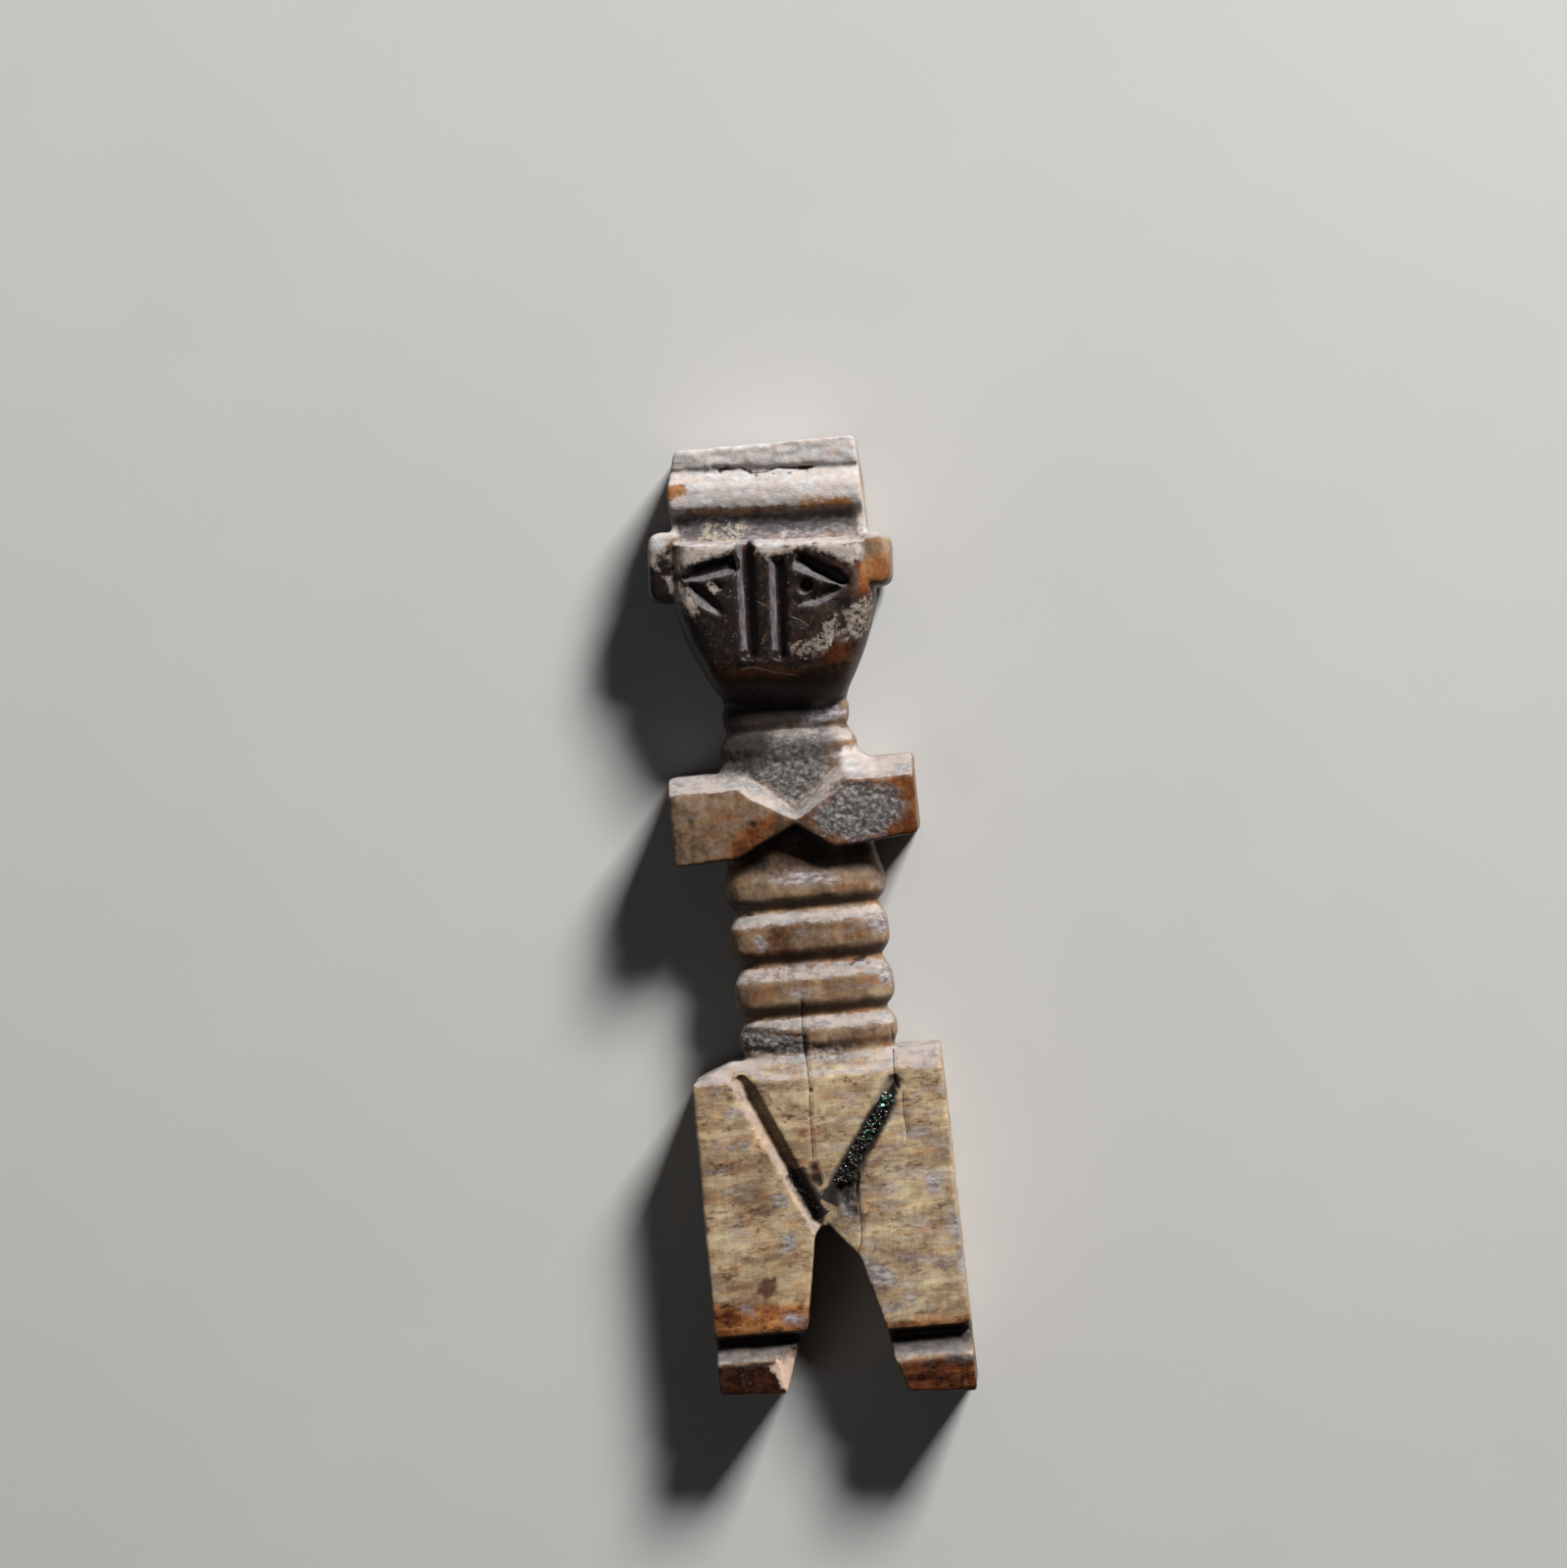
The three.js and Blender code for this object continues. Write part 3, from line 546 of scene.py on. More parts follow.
def pitting(points):
    """From 0 to 1, how deep in a pit each point lies."""
    plane = points[:, :2]
    offset, beside = nearest_line(plane, PITTED_LINES)
    near = np.exp(-np.square(offset / PIT_REACH)) * beside
    depth = soft_step(*PIT_NOISE, noise(points, PIT_SIZE, PIT_SEED)) * near
    inner, outer = PIT_WALL
    for x, height, radius in PITS:
        gap = np.hypot(plane[:, 0] - x, plane[:, 1] - height)
        depth = np.maximum(depth, 1.0 - soft_step(inner * radius, outer * radius, gap))
    return depth


def keep_value(mesh, name, values):
    """Stores one number for each vertex, for the material to read."""
    attribute = mesh.attributes.new(name, "FLOAT", "POINT")
    attribute.data.foreach_set("value", values.astype(np.float32))


def bone_tone(plane):
    """How dark the bone is at each x and h, with painted shade under the breasts and towards the left, away
    from the key light.
    """
    tone = LEG_TONE + (TORSO_TONE - LEG_TONE) * torso_share(plane[:, 1])
    for outline, value, edge in TONES:
        tone += (value - tone) * soft_step(-edge, edge, inside_depth(plane, outline))
    return tone - LEFTWARD_PAINTED_SHADE * plane[:, 0]


def swayed(points):
    """The points' x and h as the drawn outlines see them, which sway on the sides behind the front."""
    sway = SIDE_SWAY * soft_step(0.0, FULL_SWAY, FRONT_DEPTH - points[:, 2])
    across = bumps(points, SWAY_ACROSS)
    upward = bumps(points, SWAY_UPWARD)
    return points[:, :2] + sway[:, None] * np.stack([across, upward], axis=1)


def mark_stains(mesh, points, behind):
    """Stores how far in from the edges of the stains, deposits and painted shade and shadows each vertex
    lies, and how dark the bone is there, painted shade included.
    """
    plane = swayed(points)
    for name, outlines in STAINS.items():
        depth = deepest(plane, outlines) - behind * SIDE_FADE[name]
        keep_value(mesh, name, np.clip(depth, -STAIN_REACH, STAIN_REACH))
    keep_value(mesh, "torso", torso_share(points[:, 1]))
    keep_value(mesh, "tone", bone_tone(plane))


def mark_slopes(mesh, points, behind):
    """Stores how hollow the surface is and which way it leans, and returns how far it faces up."""
    ends = edge_ends(mesh)
    normals = surface_normals(mesh)
    inward = eased(points, ends, HOLLOW_ROUNDS) - points
    keep_value(mesh, "hollow", np.sum(inward * normals, axis=1))
    leaning = eased(normals, ends, NORMAL_ROUNDS)
    keep_value(mesh, "headward", leaning[:, 1])
    keep_value(mesh, "slope", leaning[:, 1] - SLOPE_FADE * behind)
    keep_value(mesh, "lit", np.maximum(leaning[:, 0], leaning[:, 1]))
    return soft_step(*FACING_NORMALS, leaning[:, 2])


def mark_lines(mesh, points, facing):
    """Stores how far each vertex lies from the drawn lines and cuts, and where the bone is pitted."""
    plane = points[:, :2]
    for name, lines in (("crack", CRACKS), ("scratch", SCRATCHES)):
        offset, beside = nearest_line(plane, lines)
        keep_value(mesh, name, offset)
        keep_value(mesh, name + "_beside", beside * facing * (np.abs(offset) < LINE_REACH))
    taper = SOIL_TAPER * soft_step(*TAPER_HEIGHTS, plane[:, 1])
    soil = SOIL_REACH - taper - line_gap(plane, SOIL_LINES)
    cut = np.max([width - line_gap(plane, lines) for lines, width in CUTS], axis=0)
    for name, reach in (("soil", soil), ("cut", cut)):
        keep_value(mesh, name, np.where(facing > LEAST_FACING, reach, -STAIN_REACH))
    keep_value(mesh, "pit", pitting(points) * facing)


def plug_pupil(mesh):
    """Adds a lump in the hole of the left pupil, which remeshing joins to the bone."""
    centre = Matrix.Translation(in_scene(*PUPIL_PLUG))
    joined = bmesh.new()
    joined.from_mesh(mesh)
    bmesh.ops.create_icosphere(joined, subdivisions=2, radius=PLUG_RADIUS * MM, matrix=centre)
    joined.to_mesh(mesh)
    joined.free()


def wear(mesh):
    """Rounds the mesh's edges, most of all round the jaw, and adds the relief of its surface."""
    ends = edge_ends(mesh)
    points = eased(figure_points(mesh), ends, WEAR_ROUNDS)
    worn = soft_step(*WORN_EDGE, deepest(points[:, :2], [JAW_RIM, GROOVE_END]))
    points += worn[:, None] * (eased(points, ends, ROUNDING_ROUNDS) - points)
    put_points(mesh, points)
    normals = surface_normals(mesh)
    points += normals * relief(points, normals)[:, None]
    put_points(mesh, points)


def carved_bone(node):
    """The figure as one worn, cracked and stained piece of bone."""
    piece = new_object("carved_bone", node.data.copy())
    piece.data.materials.clear()
    plug_pupil(piece.data)
    piece.data = with_modifier(piece, "REMESH", mode="VOXEL", voxel_size=VOXEL * MM, adaptivity=0.0)
    wear(piece.data)
    triangles = len(piece.data.polygons) * 2
    piece.data = with_modifier(piece, "DECIMATE", ratio=MOST_TRIANGLES / triangles)
    mesh = piece.data
    put_points(mesh, figure_points(mesh))
    points = figure_points(mesh)
    behind = np.maximum(0.0, FRONT_DEPTH - points[:, 2])
    mark_stains(mesh, points, behind)
    facing = mark_slopes(mesh, points, behind)
    mark_lines(mesh, points, facing)
    mesh.shade_smooth()
    mesh.materials.append(bone_material())
    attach(piece, "root")
    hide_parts("bone_figure")
    return piece


def along_line(line, share):
    """The point this share of the way along a drawn line, and the direction across the line there."""
    corners = np.array(line, float)
    lengths = np.linalg.norm(np.diff(corners, axis=0), axis=1)
    reach = share * lengths.sum()
    place = 0
    while place < len(lengths) - 1 and reach > lengths[place]:
        reach -= lengths[place]
        place += 1
    step = (corners[place + 1] - corners[place]) / lengths[place]
    return corners[place] + reach * step, np.array([-step[1], step[0]])


def add_crumb(cloud, kind, centre, size, shade, random):
    """Adds one uneven crumb to a cloud of them."""
    made = bmesh.ops.create_icosphere(cloud, subdivisions=1, radius=size, matrix=Matrix.Translation(centre))
    for corner in made["verts"]:
        corner.co = centre + (corner.co - centre) * random.uniform(*CRUMB_CORNERS)
        corner[kind] = shade


def scattered_crumbs(random):
    """The x, h, size and shade of each crumb, where a shade of 1 is green."""
    crumbs = [(x, height, size, 1.0) for x, height, size in GREEN_CRUMBS]
    for line, spread, count in CRUMB_LINES:
        for _ in range(count):
            middle, across = along_line(line, random.uniform())
            x, height = middle + across * spread * random.uniform(-1.0, 1.0)
            greenish = height > GREEN_START and random.uniform() < GREEN_SHARE
            shade = 1.0 if greenish else LIGHTEST_GREY * random.uniform() ** GREY_POWER
            crumbs.append((x, height, random.uniform(*CRUMB_SIZES), shade))
    return crumbs


def groove_crumbs(bone):
    """Dark, glassy crumbs stuck on the floors of the groin's two grooves, some of them green."""
    surface = BVHTree.FromObject(bone, bpy.context.evaluated_depsgraph_get())
    downward = Vector((0.0, 0.0, -1.0))
    random = np.random.default_rng(CRUMB_SEED)
    cloud = bmesh.new()
    kind = cloud.verts.layers.float.new("crumb")
    for x, height, size, shade in scattered_crumbs(random):
        ground = surface.ray_cast(in_scene(x, height, ABOVE_ALL), downward)[0]
        centre = ground + Vector((0.0, 0.0, CRUMB_LIFT * size)) * MM
        add_crumb(cloud, kind, centre, size * MM, shade, random)
    mesh = bpy.data.meshes.new("groove_crumbs")
    cloud.to_mesh(mesh)
    cloud.free()
    mesh.materials.append(crumb_material())
    piece = new_object("groove_crumbs", mesh)
    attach(piece, "root")


# Materials

class Graph:
    """Short ways to add nodes to one new material."""

    def __init__(self, name):
        self.material = bpy.data.materials.new(name)
        self.material.use_nodes = True
        self.tree = self.material.node_tree
        self.tree.nodes.clear()
        where = self.put("TexCoord").outputs["Object"]
        self.place = self.put("VectorMath", {0: where, 1: (1 / MM,) * 3}, operation="MULTIPLY").outputs[0]

    def put(self, kind, sockets=(), **settings):
        """A new node with these settings, and values or links for its sockets."""
        node = self.tree.nodes.new("ShaderNode" + kind)
        for name, value in settings.items():
            setattr(node, name, value)
        for socket, value in dict(sockets).items():
            if isinstance(value, bpy.types.NodeSocket):
                self.tree.links.new(value, node.inputs[socket])
            else:
                node.inputs[socket].default_value = value
        return node

    def kept(self, name):
        """A number stored on the mesh."""
        return self.put("Attribute", attribute_name=name).outputs["Fac"]

    def maths(self, operation, *values):
        """The result of one sum on two or three numbers."""
        return self.put("Math", enumerate(values), operation=operation).outputs[0]

    def noise(self, size, seed, detail=3.0):
        """Noise from 0 to 1 with blobs of about this size in millimetres, one number or one for each axis."""
        stretch = tuple(1.0 / side for side in np.broadcast_to(size, 3))
        shift = tuple(seed * step for step in SEED_STEPS)
        stretched = self.put("VectorMath", {0: self.place, 1: stretch}, operation="MULTIPLY").outputs[0]
        moved = self.put("VectorMath", {0: stretched, 1: shift}, operation="ADD").outputs[0]
        sockets = {"Vector": moved, "Scale": 1.0, "Detail": detail, "Roughness": 0.6}
        return self.put("TexNoise", sockets).outputs["Fac"]

    def step(self, low, high, value):
        """Rises smoothly from 0 at low to 1 at high."""
        sockets = {"Value": value, "From Min": low, "From Max": high}
        return self.put("MapRange", sockets, interpolation_type="SMOOTHSTEP").outputs["Result"]

    def mix(self, share, first, second):
        """The first colour, with this share of the second."""
        sockets = {0: share, 6: first, 7: second}
        return self.put("Mix", sockets, data_type="RGBA").outputs[2]

    def blend(self, share, first, second):
        """The first number, with this share of the second."""
        return self.put("Mix", {0: share, 2: first, 3: second}, data_type="FLOAT").outputs[0]

    def bump(self, strength, depth, height):
        """A normal bent by a height from 0 to 1, which stands for this many millimetres."""
        sockets = {"Strength": strength, "Distance": depth * MM, "Height": height}
        return self.put("Bump", sockets).outputs[0]

    def shaded(self, sockets):
        """The finished material, with these values and links for its one shader."""
        shader = self.put("BsdfPrincipled", sockets)
        self.put("OutputMaterial", {"Surface": shader.outputs[0]})
        return self.material


def colour(red, green, blue):
    """A colour given as it looks on a screen, from 0 to 255."""
    linear = []
    for channel in (red, green, blue):
        share = channel / 255.0
        linear.append(share / 12.92 if share <= 0.04045 else ((share + 0.055) / 1.055) ** 2.4)
    return (*linear, 1.0)


def shades(*row):
    """Several colours, each given as it looks on a screen."""
    return [colour(*shade) for shade in row]


# Bone and amber from light to dark, deposits and crumbs from dark to light, and last the crumbs' green
BONE_SHADES = shades((204, 185, 150), (170, 148, 116), (130, 107, 83), (80, 61, 45), (20, 12, 9))
AMBER_SHADES = shades((205, 164, 116), (178, 126, 80), (138, 86, 48), (86, 46, 23), (32, 13, 6))
POWDER_SHADES = shades((60, 55, 52), (122, 118, 116), (150, 148, 148), (182, 181, 182), (210, 209, 210))
GRIT_SHADES = shades((58, 54, 52), (90, 88, 87), (112, 110, 110), (156, 153, 153))
CRUMB_SHADES = shades((14, 12, 11), (30, 28, 25), (58, 55, 49), (92, 90, 84), (62, 112, 92))


def patch(graph, name, grain, seed, raggedness, edge):
    """The share of a stain at each place: its stored depth, with an edge made ragged by noise."""
    wander = centred(graph, graph.noise(grain, seed, 4.0), raggedness)
    return graph.step(-edge, edge, graph.maths("ADD", graph.kept(name), wander))


def drawn_line(graph, name, width, seed):
    """The share of a thin drawn line of uneven width."""
    reach = graph.maths("MULTIPLY", graph.noise(0.5, seed), width)
    inward = graph.maths("SUBTRACT", reach, graph.maths("ABSOLUTE", graph.kept(name)))
    return graph.maths("MULTIPLY", graph.step(0.0, 0.06, inward), graph.kept(name + "_beside"))


def centred(graph, value, amount):
    """A noise value moved to lie about 0, and scaled."""
    return graph.maths("MULTIPLY", graph.maths("SUBTRACT", value, 0.5), amount)


def sum_of(graph, *values):
    """The sum of several numbers."""
    result = values[0]
    for value in values[1:]:
        result = graph.maths("ADD", result, value)
    return result


def leg_grain(graph):
    """Uneven tone of the legs: clouds, rows of pale blots, wavy lines, mottling, fibres and dark spots."""
    clouds = centred(graph, graph.noise((6.0, 3.0, 4.0), 1, 2.0), 1.0)
    rows = centred(graph, graph.noise((7.0, 0.8, 5.0), 2, 3.0), 0.4)
    blots = graph.maths("MULTIPLY", graph.step(0.46, 0.58, graph.noise((2.4, 1.2, 2.0), 3, 2.0)), -0.16)
    mottling = centred(graph, graph.noise((0.7, 0.5, 0.7), 4, 5.0), 0.38)
    fibres = centred(graph, graph.noise((0.3, 2.5, 1.0), 28, 3.0), 0.25)
    ridge = graph.maths("ABSOLUTE", centred(graph, graph.noise((3.2, 1.0, 2.5), 34, 4.0), 1.0))
    broken = graph.step(0.44, 0.6, graph.noise((2.4, 1.6, 2.0), 35))
    lines = graph.maths("MULTIPLY", graph.step(0.035, 0.0, ridge), graph.maths("MULTIPLY", broken, 0.26))
    dashes = graph.step(0.58, 0.7, graph.noise((1.6, 0.45, 1.2), 5, 3.0))
    spots = graph.step(0.57, 0.68, graph.noise((1.0, 0.8, 1.0), 6, 4.0))
    gathered = graph.step(0.44, 0.58, graph.noise((5.0, 3.5, 4.0), 32))
    marks = graph.maths("MULTIPLY", graph.maths("MAXIMUM", dashes, spots), 0.3)
    marks = graph.maths("MULTIPLY", marks, gathered)
    return sum_of(graph, clouds, rows, blots, mottling, fibres, lines, marks)


def body_grain(graph):
    """Uneven tone of the waist and chest: soft blotches, faint upright streaks and mottling."""
    blotches = centred(graph, graph.noise(2.6, 7, 3.0), 0.85)
    streaks = centred(graph, graph.noise((0.8, 5.0, 2.0), 8, 3.0), 0.3)
    mottling = centred(graph, graph.noise(0.5, 9, 4.0), 0.42)
    return sum_of(graph, blotches, streaks, mottling)


def ramp(graph, value, stops):
    """Colours at even steps of a value from 0 to 1."""
    node = graph.put("ValToRGB", {"Fac": value})
    elements = node.color_ramp.elements
    while len(elements) < len(stops):
        elements.new(0.5)
    for place, (element, shade) in enumerate(zip(elements, stops)):
        element.position = place / (len(stops) - 1)
        element.color = shade
    return node.outputs["Color"]


def bare_bone(graph, face, amber):
    """The colour of the bone itself, from cream to dark brown and from grey brown to amber."""
    grain = graph.blend(graph.kept("torso"), leg_grain(graph), body_grain(graph))
    face_grain = centred(graph, graph.noise(1.0, 10, 5.0), 0.6)
    tone = graph.maths("ADD", graph.kept("tone"), graph.blend(face, grain, face_grain))
    rust = graph.step(0.48, 0.66, graph.noise((3.5, 1.6, 3.0), 12, 4.0))
    rust = graph.maths("MULTIPLY", rust, graph.blend(graph.kept("torso"), 0.4, 0.6))
    share = graph.maths("MAXIMUM", amber, rust)
    return graph.mix(share, ramp(graph, tone, BONE_SHADES), ramp(graph, tone, AMBER_SHADES))


def smears(graph, face, amber, wiped):
    """The share of grey smears, and their colour."""
    rightward = graph.step(-3.0, 8.0, graph.put("SeparateXYZ", {0: graph.place}).outputs["X"])
    mist = graph.maths("MULTIPLY_ADD", rightward, 0.08, graph.noise((4.0, 1.4, 2.5), 13, 5.0))
    strength = graph.blend(amber, graph.blend(graph.kept("torso"), 0.5, 0.3), 0.0)
    haze = graph.maths("MULTIPLY", graph.step(0.53, 0.74, mist), strength)
    share = graph.maths("MAXIMUM", graph.maths("MULTIPLY", wiped, 0.85), haze)
    share = graph.maths("MULTIPLY", share, graph.blend(face, 1.0, 0.1))
    wisps = graph.step(0.38, 0.68, graph.noise((0.9, 0.4, 0.6), 29, 5.0))
    return share, graph.mix(wisps, colour(104, 98, 100), colour(180, 174, 177))


def cut_walls(graph, base):
    """The colour with a grey film on the walls of the cuts that face the key light, real but partly painted
    light as it lies on the lit side only, and painted shadow on the walls turned away.
    """
    cut = patch(graph, "cut", 0.6, 13, 0.6, 0.2)
    # Grey film, real, laid only where the walls face the key light, which paints light on them
    film_and_painted_light = graph.maths("MULTIPLY", cut, graph.step(0.3, 0.6, graph.kept("lit")))
    streaks = graph.step(0.25, 0.75, graph.noise((0.4, 1.6, 0.5), 27, 5.0))
    streaks = graph.maths("MULTIPLY_ADD", streaks, 0.6, 0.28)
    grey = graph.mix(graph.kept("torso"), colour(172, 155, 147), colour(124, 117, 121))
    base = graph.mix(graph.maths("MULTIPLY", film_and_painted_light, streaks), base, grey)
    # Painted shadow, near black, on the cut walls turned away from the key light
    painted_wall_shadow = graph.maths("MULTIPLY", cut, graph.step(0.15, -0.1, graph.kept("lit")))
    darkness = graph.blend(graph.kept("torso"), 0.55, 0.8)
    return graph.mix(graph.maths("MULTIPLY", painted_wall_shadow, darkness), base, colour(12, 8, 6))


def chalk_powder(graph, face, amber, wiped):
    """The share of chalky powder on the crown, the brow and every slope towards the head, and its colour."""
    start = graph.blend(graph.kept("torso"), 0.42, 0.36)
    gain = graph.blend(graph.kept("torso"), 3.0, 4.2)
    slope = graph.maths("MULTIPLY", graph.maths("SUBTRACT", graph.kept("slope"), start), gain)
    slope = graph.maths("SUBTRACT", slope, graph.maths("MULTIPLY", face, 6.0))
    reach = graph.maths("MAXIMUM", graph.kept("chalk"), slope)
    bare = graph.maths("ADD", graph.maths("MULTIPLY", amber, -1.0), graph.maths("MULTIPLY", wiped, -1.6))
    cloud = centred(graph, graph.noise(0.9, 15, 5.0), 2.6)
    share = graph.step(-0.3, 0.5, sum_of(graph, reach, cloud, bare))
    whiteness = graph.step(-0.4, 0.4, graph.kept("chalk"))
    grains = graph.maths("MULTIPLY_ADD", whiteness, 0.34, graph.noise((0.8, 0.5, 0.8), 16, 6.0))
    grains = graph.maths("SUBTRACT", grains, 0.08)
    rubbed = centred(graph, graph.noise((4.0, 0.45, 3.0), 30, 4.0), 0.45)
    powder = ramp(graph, graph.maths("ADD", grains, rubbed), POWDER_SHADES)
    tinted = graph.step(0.36, 0.6, graph.noise((2.6, 1.0, 2.4), 17, 4.0))
    powder = graph.mix(graph.maths("MULTIPLY", tinted, 0.55), powder, colour(194, 175, 163))
    return share, graph.mix(graph.maths("MULTIPLY", face, 0.6), powder, colour(158, 139, 122))


def bone_marks(graph, base, face, scab):
    """The colour with its scars, painted shadow in the face's cuts, dirt, painted shade and shadows, pits,
    cracks, scratches and flecks of dust.
    """
    base = graph.mix(patch(graph, "scar", 0.5, 21, 1.2, 0.3), base, colour(88, 62, 46))
    # Painted shadow, near black, in the upper walls of the eye cuts and at the top of the nose cut
    base = graph.mix(patch(graph, "cut_shadow", 0.4, 36, 0.6, 0.2), base, colour(13, 9, 7))
    dirt = graph.maths("MULTIPLY", graph.step(0.1, 0.34, graph.kept("hollow")), 0.4)
    base = graph.mix(dirt, base, colour(64, 52, 46))
    # Painted shade on the lower neck band, the upper ankle slopes and the hollow under the crown's roll, and
    # the flake's own darker colour, kept off the scabs
    shade = graph.maths("MULTIPLY", patch(graph, "shade", 0.9, 37, 2.4, 0.7), 0.6)
    base = graph.mix(graph.blend(scab, shade, 0.0), base, colour(36, 33, 34))
    # Painted shadow, near black: the jaw's shadow on the neck, the shadow in the ankle notches and under the
    # crown's roll
    painted_shadow = graph.maths("MULTIPLY", patch(graph, "painted_shadow", 0.9, 33, 2.0, 0.9), 0.9)
    base = graph.mix(painted_shadow, base, colour(28, 23, 21))
    pit = graph.maths("MULTIPLY", graph.step(0.25, 0.7, graph.kept("pit")), 0.8)
    base = graph.mix(pit, base, colour(30, 24, 20))
    base = graph.mix(drawn_line(graph, "crack", 0.16, 23), base, colour(26, 20, 17))
    scratch = graph.maths("MULTIPLY", drawn_line(graph, "scratch", 0.12, 24), 0.6)
    base = graph.mix(scratch, base, colour(140, 130, 124))
    flecks = graph.maths("MULTIPLY", graph.step(0.62, 0.72, graph.noise(0.35, 25, 3.0)), 0.6)
    return graph.mix(graph.maths("MULTIPLY", flecks, face), base, colour(120, 110, 104))


def painted_underside_shade(graph, base):
    """The colour with painted shade, dark brown, on the slopes towards the feet, which face away from the key
    light, where they carry no chalk.
    """
    share = graph.maths("MULTIPLY", graph.step(-0.25, -0.6, graph.kept("headward")), 0.65)
    share = graph.maths("MULTIPLY", share, graph.step(0.3, -0.3, graph.kept("chalk")))
    return graph.mix(share, base, colour(58, 40, 28))


def scabs(graph, face, powder):
    """The share of scabs with holes in them, and their colour, which is browner on the face."""
    holes = graph.step(0.38, 0.54, graph.noise(0.5, 31, 4.0))
    share = graph.maths("MULTIPLY", patch(graph, "scab", 0.7, 18, 3.0, 0.3), holes)
    cream = graph.mix(face, colour(176, 163, 140), colour(110, 100, 90))
    return share, graph.mix(0.65, powder, cream)


def fresh_chip(graph, base):
    """The colour with the pale bone that shows where a foot is chipped."""
    fresh = graph.mix(graph.noise(0.6, 39, 4.0), colour(176, 142, 118), colour(216, 194, 178))
    return graph.mix(patch(graph, "chip", 0.5, 38, 1.2, 0.2), base, fresh)


def crusts(graph):
    """The share of gritty crusts, and their colour."""
    grit = graph.step(0.34, 0.68, graph.noise((0.48, 0.38, 0.48), 20, 6.0))
    return patch(graph, "crust", 0.9, 19, 3.4, 0.8), ramp(graph, grit, GRIT_SHADES)


def bone_material():
    """Old bone, cream to dark brown, with its polish, chalky deposits, crusts and cracks."""
    graph = Graph("carved_bone")
    face = graph.step(0.8, 0.95, graph.kept("tone"))
    amber = patch(graph, "amber", 1.2, 11, 2.4, 0.7)
    wiped = patch(graph, "smear", 1.0, 14, 2.4, 0.6)
    smear, grey = smears(graph, face, amber, wiped)
    chalk, powder = chalk_powder(graph, face, amber, wiped)
    scab, cream = scabs(graph, face, powder)
    crust, grit = crusts(graph)
    soil = patch(graph, "soil", 0.5, 22, 0.8, 0.3)

    base = graph.mix(smear, bare_bone(graph, face, amber), grey)
    # Painted shade on the slopes towards the feet, then the cuts' film and painted shadow
    base = cut_walls(graph, painted_underside_shade(graph, base))
    base = graph.mix(graph.maths("MULTIPLY", chalk, 0.9), base, powder)
    base = fresh_chip(graph, graph.mix(scab, base, cream))
    base = graph.mix(graph.maths("MULTIPLY", crust, 0.9), base, grit)
    base = graph.mix(soil, base, colour(46, 40, 36))
    base = bone_marks(graph, base, face, scab)

    rough = graph.blend(face, 0.52, 0.46)
    layers = [(amber, 0.36), (smear, 0.65), (chalk, 0.85), (scab, 0.85), (crust, 0.8), (soil, 0.7)]
    for share, roughness in layers:
        rough = graph.blend(share, rough, roughness)
    deposit = graph.maths("MAXIMUM", graph.maths("MAXIMUM", chalk, scab), crust)
    height = graph.maths("MULTIPLY", graph.noise(0.22, 26, 4.0), graph.blend(deposit, 0.3, 1.0))
    normal = graph.bump(0.7, 0.1, height)
    return graph.shaded({"Base Color": base, "Roughness": rough, "Specular IOR Level": 0.3, "Normal": normal})


def crumb_material():
    """Glassy crumbs from near black to grey, and a few of them green."""
    graph = Graph("groove_crumbs")
    base = ramp(graph, graph.kept("crumb"), CRUMB_SHADES)
    normal = graph.bump(0.5, 0.03, graph.noise(0.08, 1))
    return graph.shaded({"Base Color": base, "Roughness": 0.22, "Normal": normal})


def floor_material():
    """A pale, matt, faintly mottled floor."""
    graph = Graph("floor")
    base = graph.mix(graph.noise(40.0, 1), colour(188, 187, 185), colour(196, 195, 193))
    return graph.shaded({"Base Color": base, "Roughness": 0.8})


# Floor, light and camera

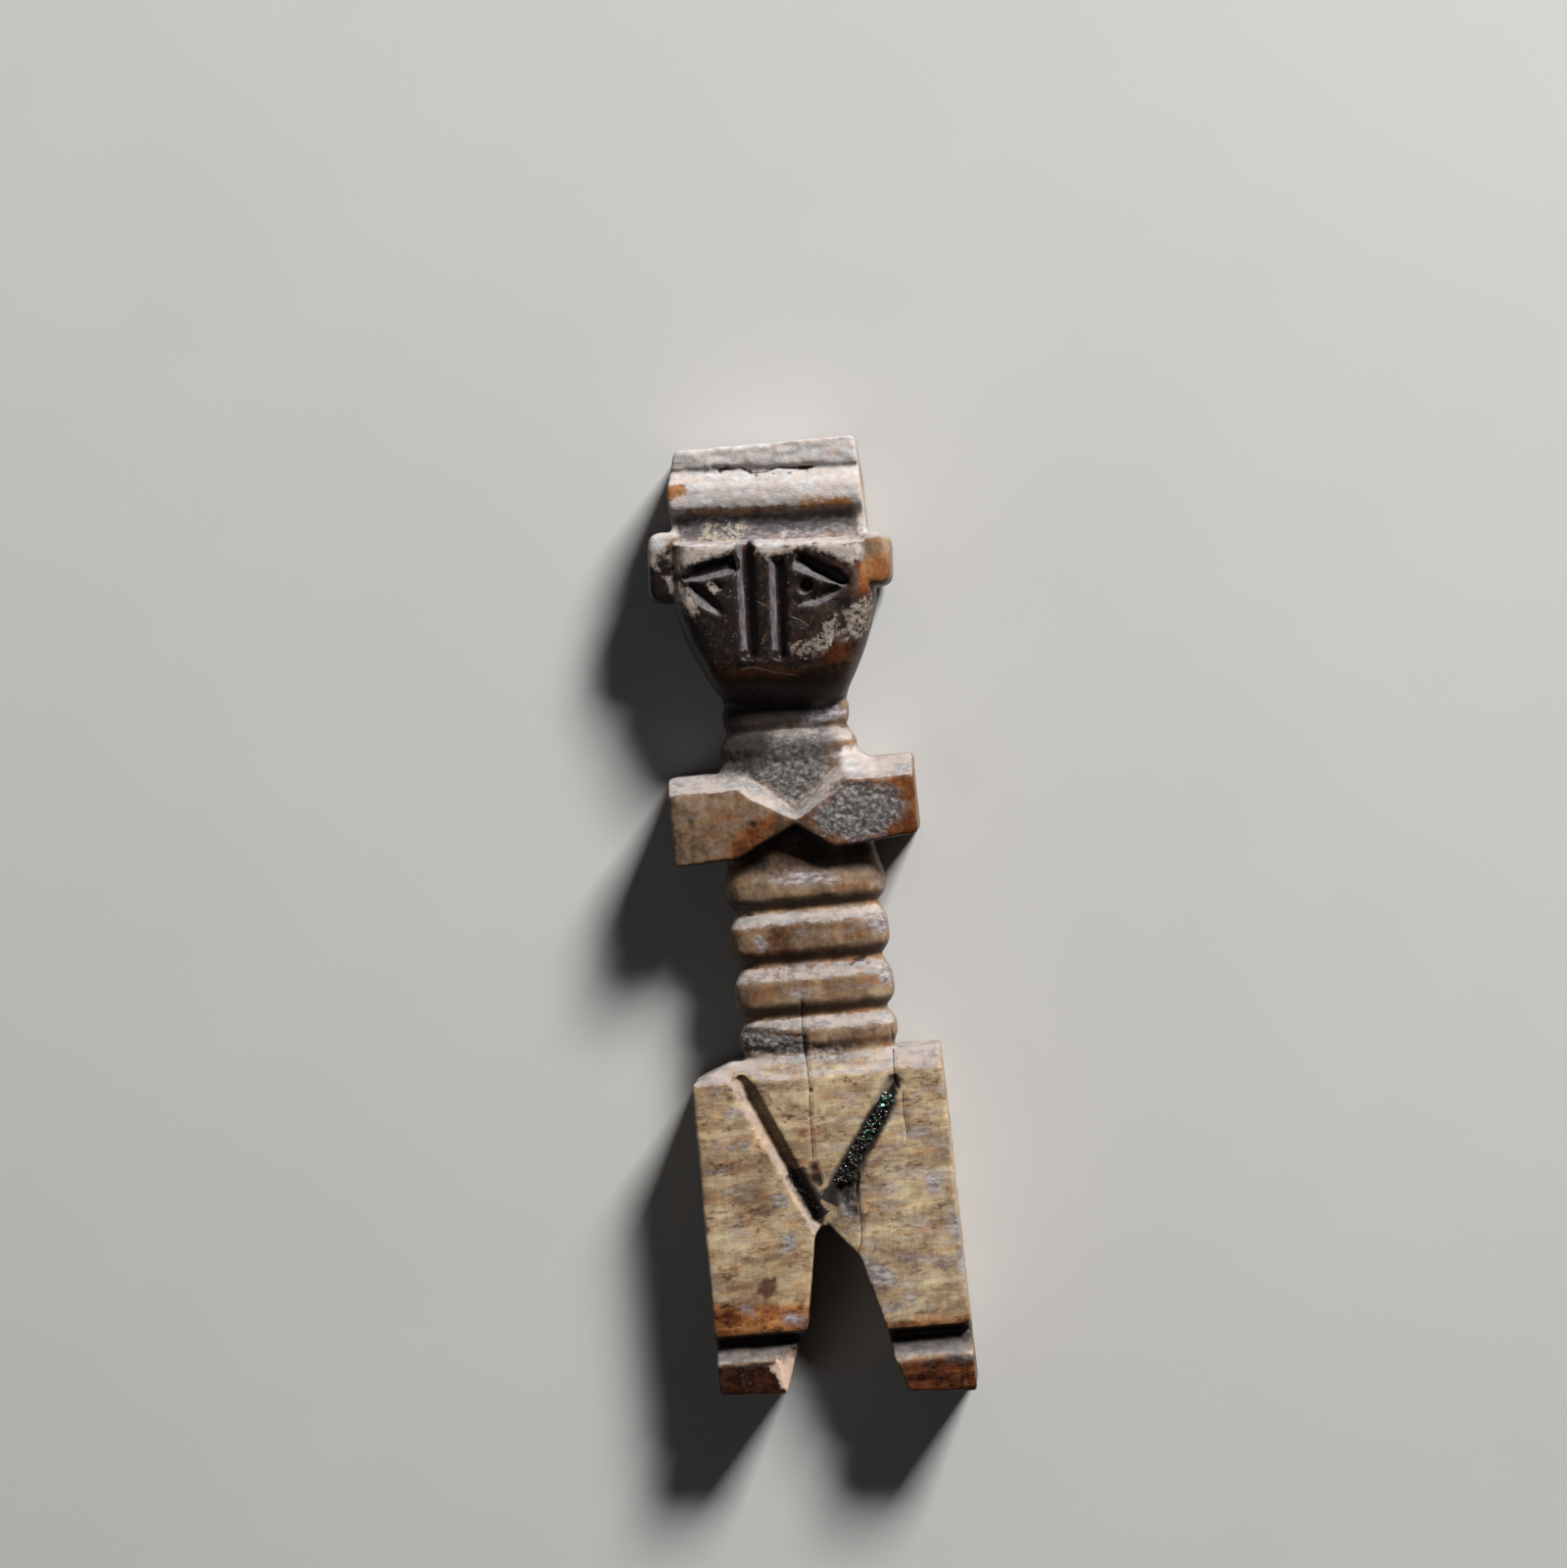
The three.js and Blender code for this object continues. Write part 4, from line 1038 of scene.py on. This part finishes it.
def pale_floor():
    """A wide square floor under the figure, which isn't part of the object."""
    half = FLOOR_HALF
    mesh = bpy.data.meshes.new("floor")
    corners = [(-half, -half, 0.0), (half, -half, 0.0), (half, half, 0.0), (-half, half, 0.0)]
    mesh.from_pydata(corners, [], [(0, 1, 2, 3)])
    mesh.materials.append(floor_material())
    floor = new_object("floor", mesh)


def soft_light(name, place, size, power, tint):
    """A square panel of light at this place in metres, facing the figure."""
    lamp = bpy.data.lights.new(name, "AREA")
    lamp.size = size
    lamp.energy = power
    lamp.color = tint
    light = new_object(name, lamp)
    light.location = place
    light.rotation_euler = (-Vector(place)).to_track_quat("-Z", "Y").to_euler()


def studio():
    """A key light from beyond the head's right, a weak fill, and dim surroundings."""
    world = bpy.data.worlds.new("studio")
    world.use_nodes = True
    background = world.node_tree.nodes["Background"]
    background.inputs["Color"].default_value = (1.0, 1.0, 1.0, 1.0)
    background.inputs["Strength"].default_value = WORLD_STRENGTH
    bpy.context.scene.world = world
    soft_light("key", KEY_PLACE, KEY_SIZE, KEY_POWER, KEY_TINT)
    soft_light("fill", FILL_PLACE, FILL_SIZE, FILL_POWER, FILL_TINT)


def overhead_camera():
    """A camera above the figure at the photograph's angle and framing."""
    away = Vector((math.sin(VIEW_YAW), math.sin(VIEW_PITCH), 1.0)).normalized()
    upward = Vector((math.sin(VIEW_LEAN), math.cos(VIEW_LEAN), 0.0))
    right = upward.cross(away).normalized()
    upward = away.cross(right)
    data = bpy.data.cameras.new("camera")
    data.sensor_fit = "VERTICAL"
    data.sensor_height = SENSOR
    data.lens = SENSOR * VIEW_DISTANCE / VIEW_HEIGHT
    data.clip_start = CLIP_START
    camera = new_object("camera", data)
    turn = camera.matrix_world.to_3x3()
    turn.col[0] = right
    turn.col[1] = upward
    turn.col[2] = away
    camera.matrix_world = turn.to_4x4()
    camera.location = in_scene(*VIEW_CENTRE) + away * VIEW_DISTANCE * MM
    bpy.context.scene.camera = camera


overhead_camera()
pale_floor()
studio()
groove_crumbs(carved_bone(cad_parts["bone_figure"]))
bpy.context.scene.view_settings.view_transform = "Standard"
